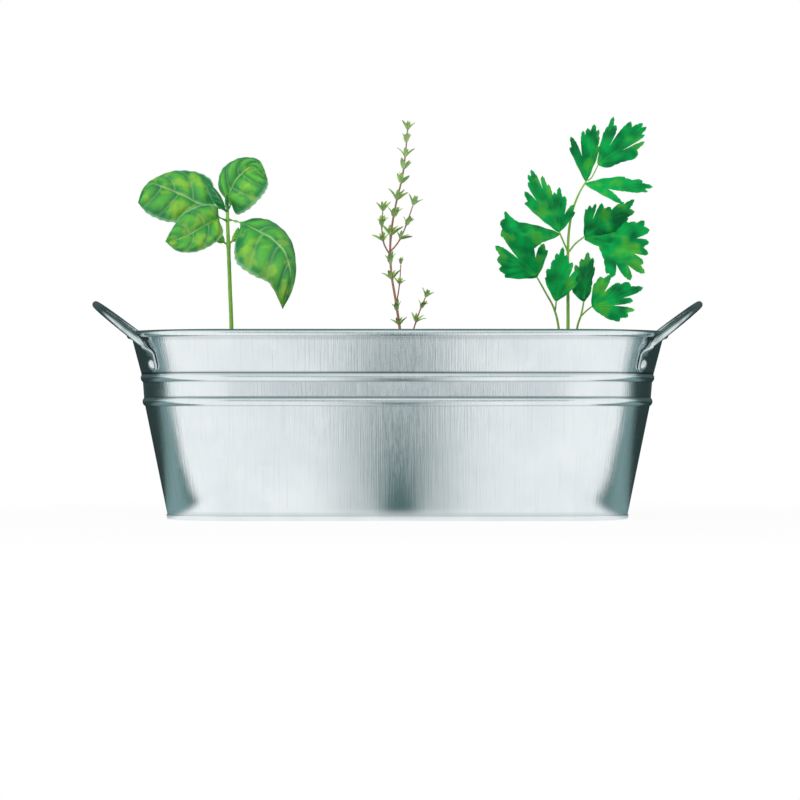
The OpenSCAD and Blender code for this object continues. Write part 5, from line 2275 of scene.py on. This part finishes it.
@dataclass
class Studio:
    """The camera, the white floor and the soft light. Sizes are in metres."""

    distance: float = 1.5
    eye_height: float = 0.0467
    lens: float = 137.5
    sensor: float = 36.0
    shift: tuple[float, float] = (0.003125, 0.02875)
    floor_size: float = 12.0
    white_near: float = 0.95
    key_power: float = 6.5
    key_size: float = 1.4
    key_at: tuple[float, float, float] = (-0.55, -0.7, 0.85)
    key_aim: tuple[float, float, float] = (0.0, 0.0, 0.12)
    fill_level: float = 0.55
    mirrored_slate: str = "4e6c6a"
    mirrored_pale: str = "7c9a9a"
    mirrored_mid: str = "5c7a78"
    mirrored_deep: str = "18302f"
    mirrored_line: str = "a9bcbc"

    def camera(self) -> None:
        """Sets the camera at the photograph's viewing angle."""
        data = bpy.data.cameras.new("camera")
        data.lens = self.lens
        data.sensor_width = self.sensor
        data.shift_x, data.shift_y = self.shift
        item = bpy.data.objects.new("camera", data)
        item.location = (0, -self.distance, self.eye_height)
        item.rotation_euler = (math.pi / 2, 0, 0)
        bpy.context.scene.collection.objects.link(item)
        bpy.context.scene.camera = item

    def key(self) -> None:
        """Adds one large soft lamp, up to the left in front."""
        data = bpy.data.lights.new("key", "AREA")
        data.energy = self.key_power
        data.size = self.key_size
        item = bpy.data.objects.new("key", data)
        item.location = self.key_at
        aim = Vector(self.key_aim) - item.location
        item.rotation_euler = aim.to_track_quat("-Z", "Y").to_euler()
        item.visible_glossy = False
        bpy.context.scene.collection.objects.link(item)

    def mirrored_floor(self, s: Shader) -> Socket:
        """Draws what the metal mirrors of the floor: white, with dark fields that draw its ends.

        Args:
            s: The floor's shader.

        Returns:
            The colour.
        """
        spot = s.node("SeparateXYZ")
        s.join(s.node("TexCoord").outputs["Object"], spot.inputs[0])
        x, y = spot.outputs[0], spot.outputs[1]
        far_x = s.sum("ABSOLUTE", x)
        wobble = s.sum("MULTIPLY", s.sum("SUBTRACT", s.grain(s.place(), 30, 4, 0.7), 0.5), 0.03)
        y_soft = s.sum("ADD", y, wobble)
        side = s.blend(s.between(y_soft, -0.06, -0.05), WHITE, colour(self.mirrored_slate))
        side = s.blend(s.between(y_soft, -0.05, -0.03), side, colour(self.mirrored_pale))
        side = s.blend(s.between(y_soft, 0.0, 0.03), side, colour(self.mirrored_mid))
        side = s.blend(s.between(y_soft, 0.046, 0.062), side, colour(self.mirrored_deep))
        line = s.sum("ABSOLUTE", s.sum("SUBTRACT", y, 0.04))
        side = s.blend(s.between(line, 0.006, 0.001), side, colour(self.mirrored_line))
        floor = s.blend(s.between(far_x, 0.108, 0.122), WHITE, side)
        from_middle = s.sum("ABSOLUTE", s.sum("SUBTRACT", x, 0.001))
        core = s.between(from_middle, 0.015, 0.002, 0, 0.45)
        skirt = s.between(from_middle, 0.05, 0.004, 0, 0.58)
        far = s.sum("MULTIPLY", s.between(from_middle, 0.12, 0.03, 0, 0.4), s.between(y, -0.26, -0.34))
        strip = s.sum("MULTIPLY", s.sum("ADD", s.sum("ADD", core, skirt), far), s.between(y, -0.045, -0.06))
        return s.blend(strip, floor, colour(self.mirrored_slate))

    def floor(self) -> None:
        """Lays the white floor, which keeps a faint shadow of the planter."""
        half = self.floor_size / 2
        mesh = bpy.data.meshes.new("floor")
        corners = [(-half, -half, 0), (half, -half, 0), (half, half, 0), (-half, half, 0)]
        mesh.from_pydata(corners, [], [(0, 1, 2, 3)])
        item = bpy.data.objects.new("floor", mesh)
        bpy.context.scene.collection.objects.link(item)
        s = Shader("white_floor")
        s.set(Base_Color=(0.86, 0.87, 0.87, 1), Roughness=1.0)
        s.surface.inputs["Specular IOR Level"].default_value = 0.0
        path = s.node("LightPath")
        bright = s.node("Emission")
        mirrored = s.blend(path.outputs["Is Glossy Ray"], WHITE, self.mirrored_floor(s))
        s.join(mirrored, bright.inputs["Color"])
        flat = s.node("VectorMath", operation="LENGTH")
        s.join(s.node("TexCoord").outputs["Object"], flat.inputs[0])
        share = s.between(flat.outputs["Value"], 0.16, 0.45, self.white_near, 1.0)
        straight = s.sum("MAXIMUM", path.outputs["Is Camera Ray"], path.outputs["Is Transmission Ray"])
        seen = s.sum("MULTIPLY", straight, share)
        seen = s.sum("MAXIMUM", seen, s.sum("MULTIPLY", path.outputs["Is Glossy Ray"], 0.97))
        both = s.node("MixShader")
        s.join(seen, both.inputs[0])
        s.join(s.surface.outputs[0], both.inputs[1])
        s.join(bright.outputs[0], both.inputs[2])
        s.join(both.outputs[0], s.output.inputs["Surface"])
        item.data.materials.append(s.material)

    def world(self) -> None:
        """Sets a white surround for the camera and an even, duller light for the surfaces."""
        s = Surround("surround")
        spot = s.node("SeparateXYZ")
        s.join(s.node("TexCoord").outputs["Generated"], spot.inputs[0])
        x, y, z = spot.outputs
        shade = s.sum("MULTIPLY", s.between(y, -0.05, 0.45, 0.97, 0.12), s.between(z, 0.6, 0.95, 1.0, 0.42))
        middle = s.between(s.sum("ABSOLUTE", x), 0.24, 0.01)
        middle = s.sum("MULTIPLY", middle, s.between(s.sum("ABSOLUTE", z), 0.5, 0.2))
        middle = s.sum("MULTIPLY", middle, s.between(y, -0.6, -0.8, 0.0, 0.72))
        shade = s.sum("MULTIPLY", shade, s.sum("SUBTRACT", 1.0, middle))
        sky = s.background((0.97, 0.985, 1.0, 1), self.fill_level)
        mirrored = s.background(s.blend(shade, (0.45, 0.78, 0.76, 1), (0.97, 1.0, 1.0, 1)), shade)
        path = s.node("LightPath")
        shown = s.sum("MAXIMUM", path.outputs["Is Camera Ray"], path.outputs["Is Transmission Ray"])
        light = s.choose(path.outputs["Is Glossy Ray"], sky, mirrored)
        s.show(s.choose(shown, light, s.background(WHITE, 1.0)))

    def build(self) -> None:
        """Sets up the camera, the lights and the floor."""
        bpy.context.scene.view_settings.view_transform = "Standard"
        self.camera()
        self.key()
        self.floor()
        self.world()


def main() -> None:
    """Builds the planter over its frame, then the studio."""
    logging.basicConfig(level=logging.INFO, format="%(name)s %(message)s")
    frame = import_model()
    tub = Tub()
    tub.build()
    tub.dress(frame["nodes"])
    Handle(tub).build()
    Bedding(tub).build()
    Basil().build()
    Thyme().build()
    Parsley().build()
    Studio().build()
    bpy.context.view_layer.update()
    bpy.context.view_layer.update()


if __name__ == "__main__":
    main()
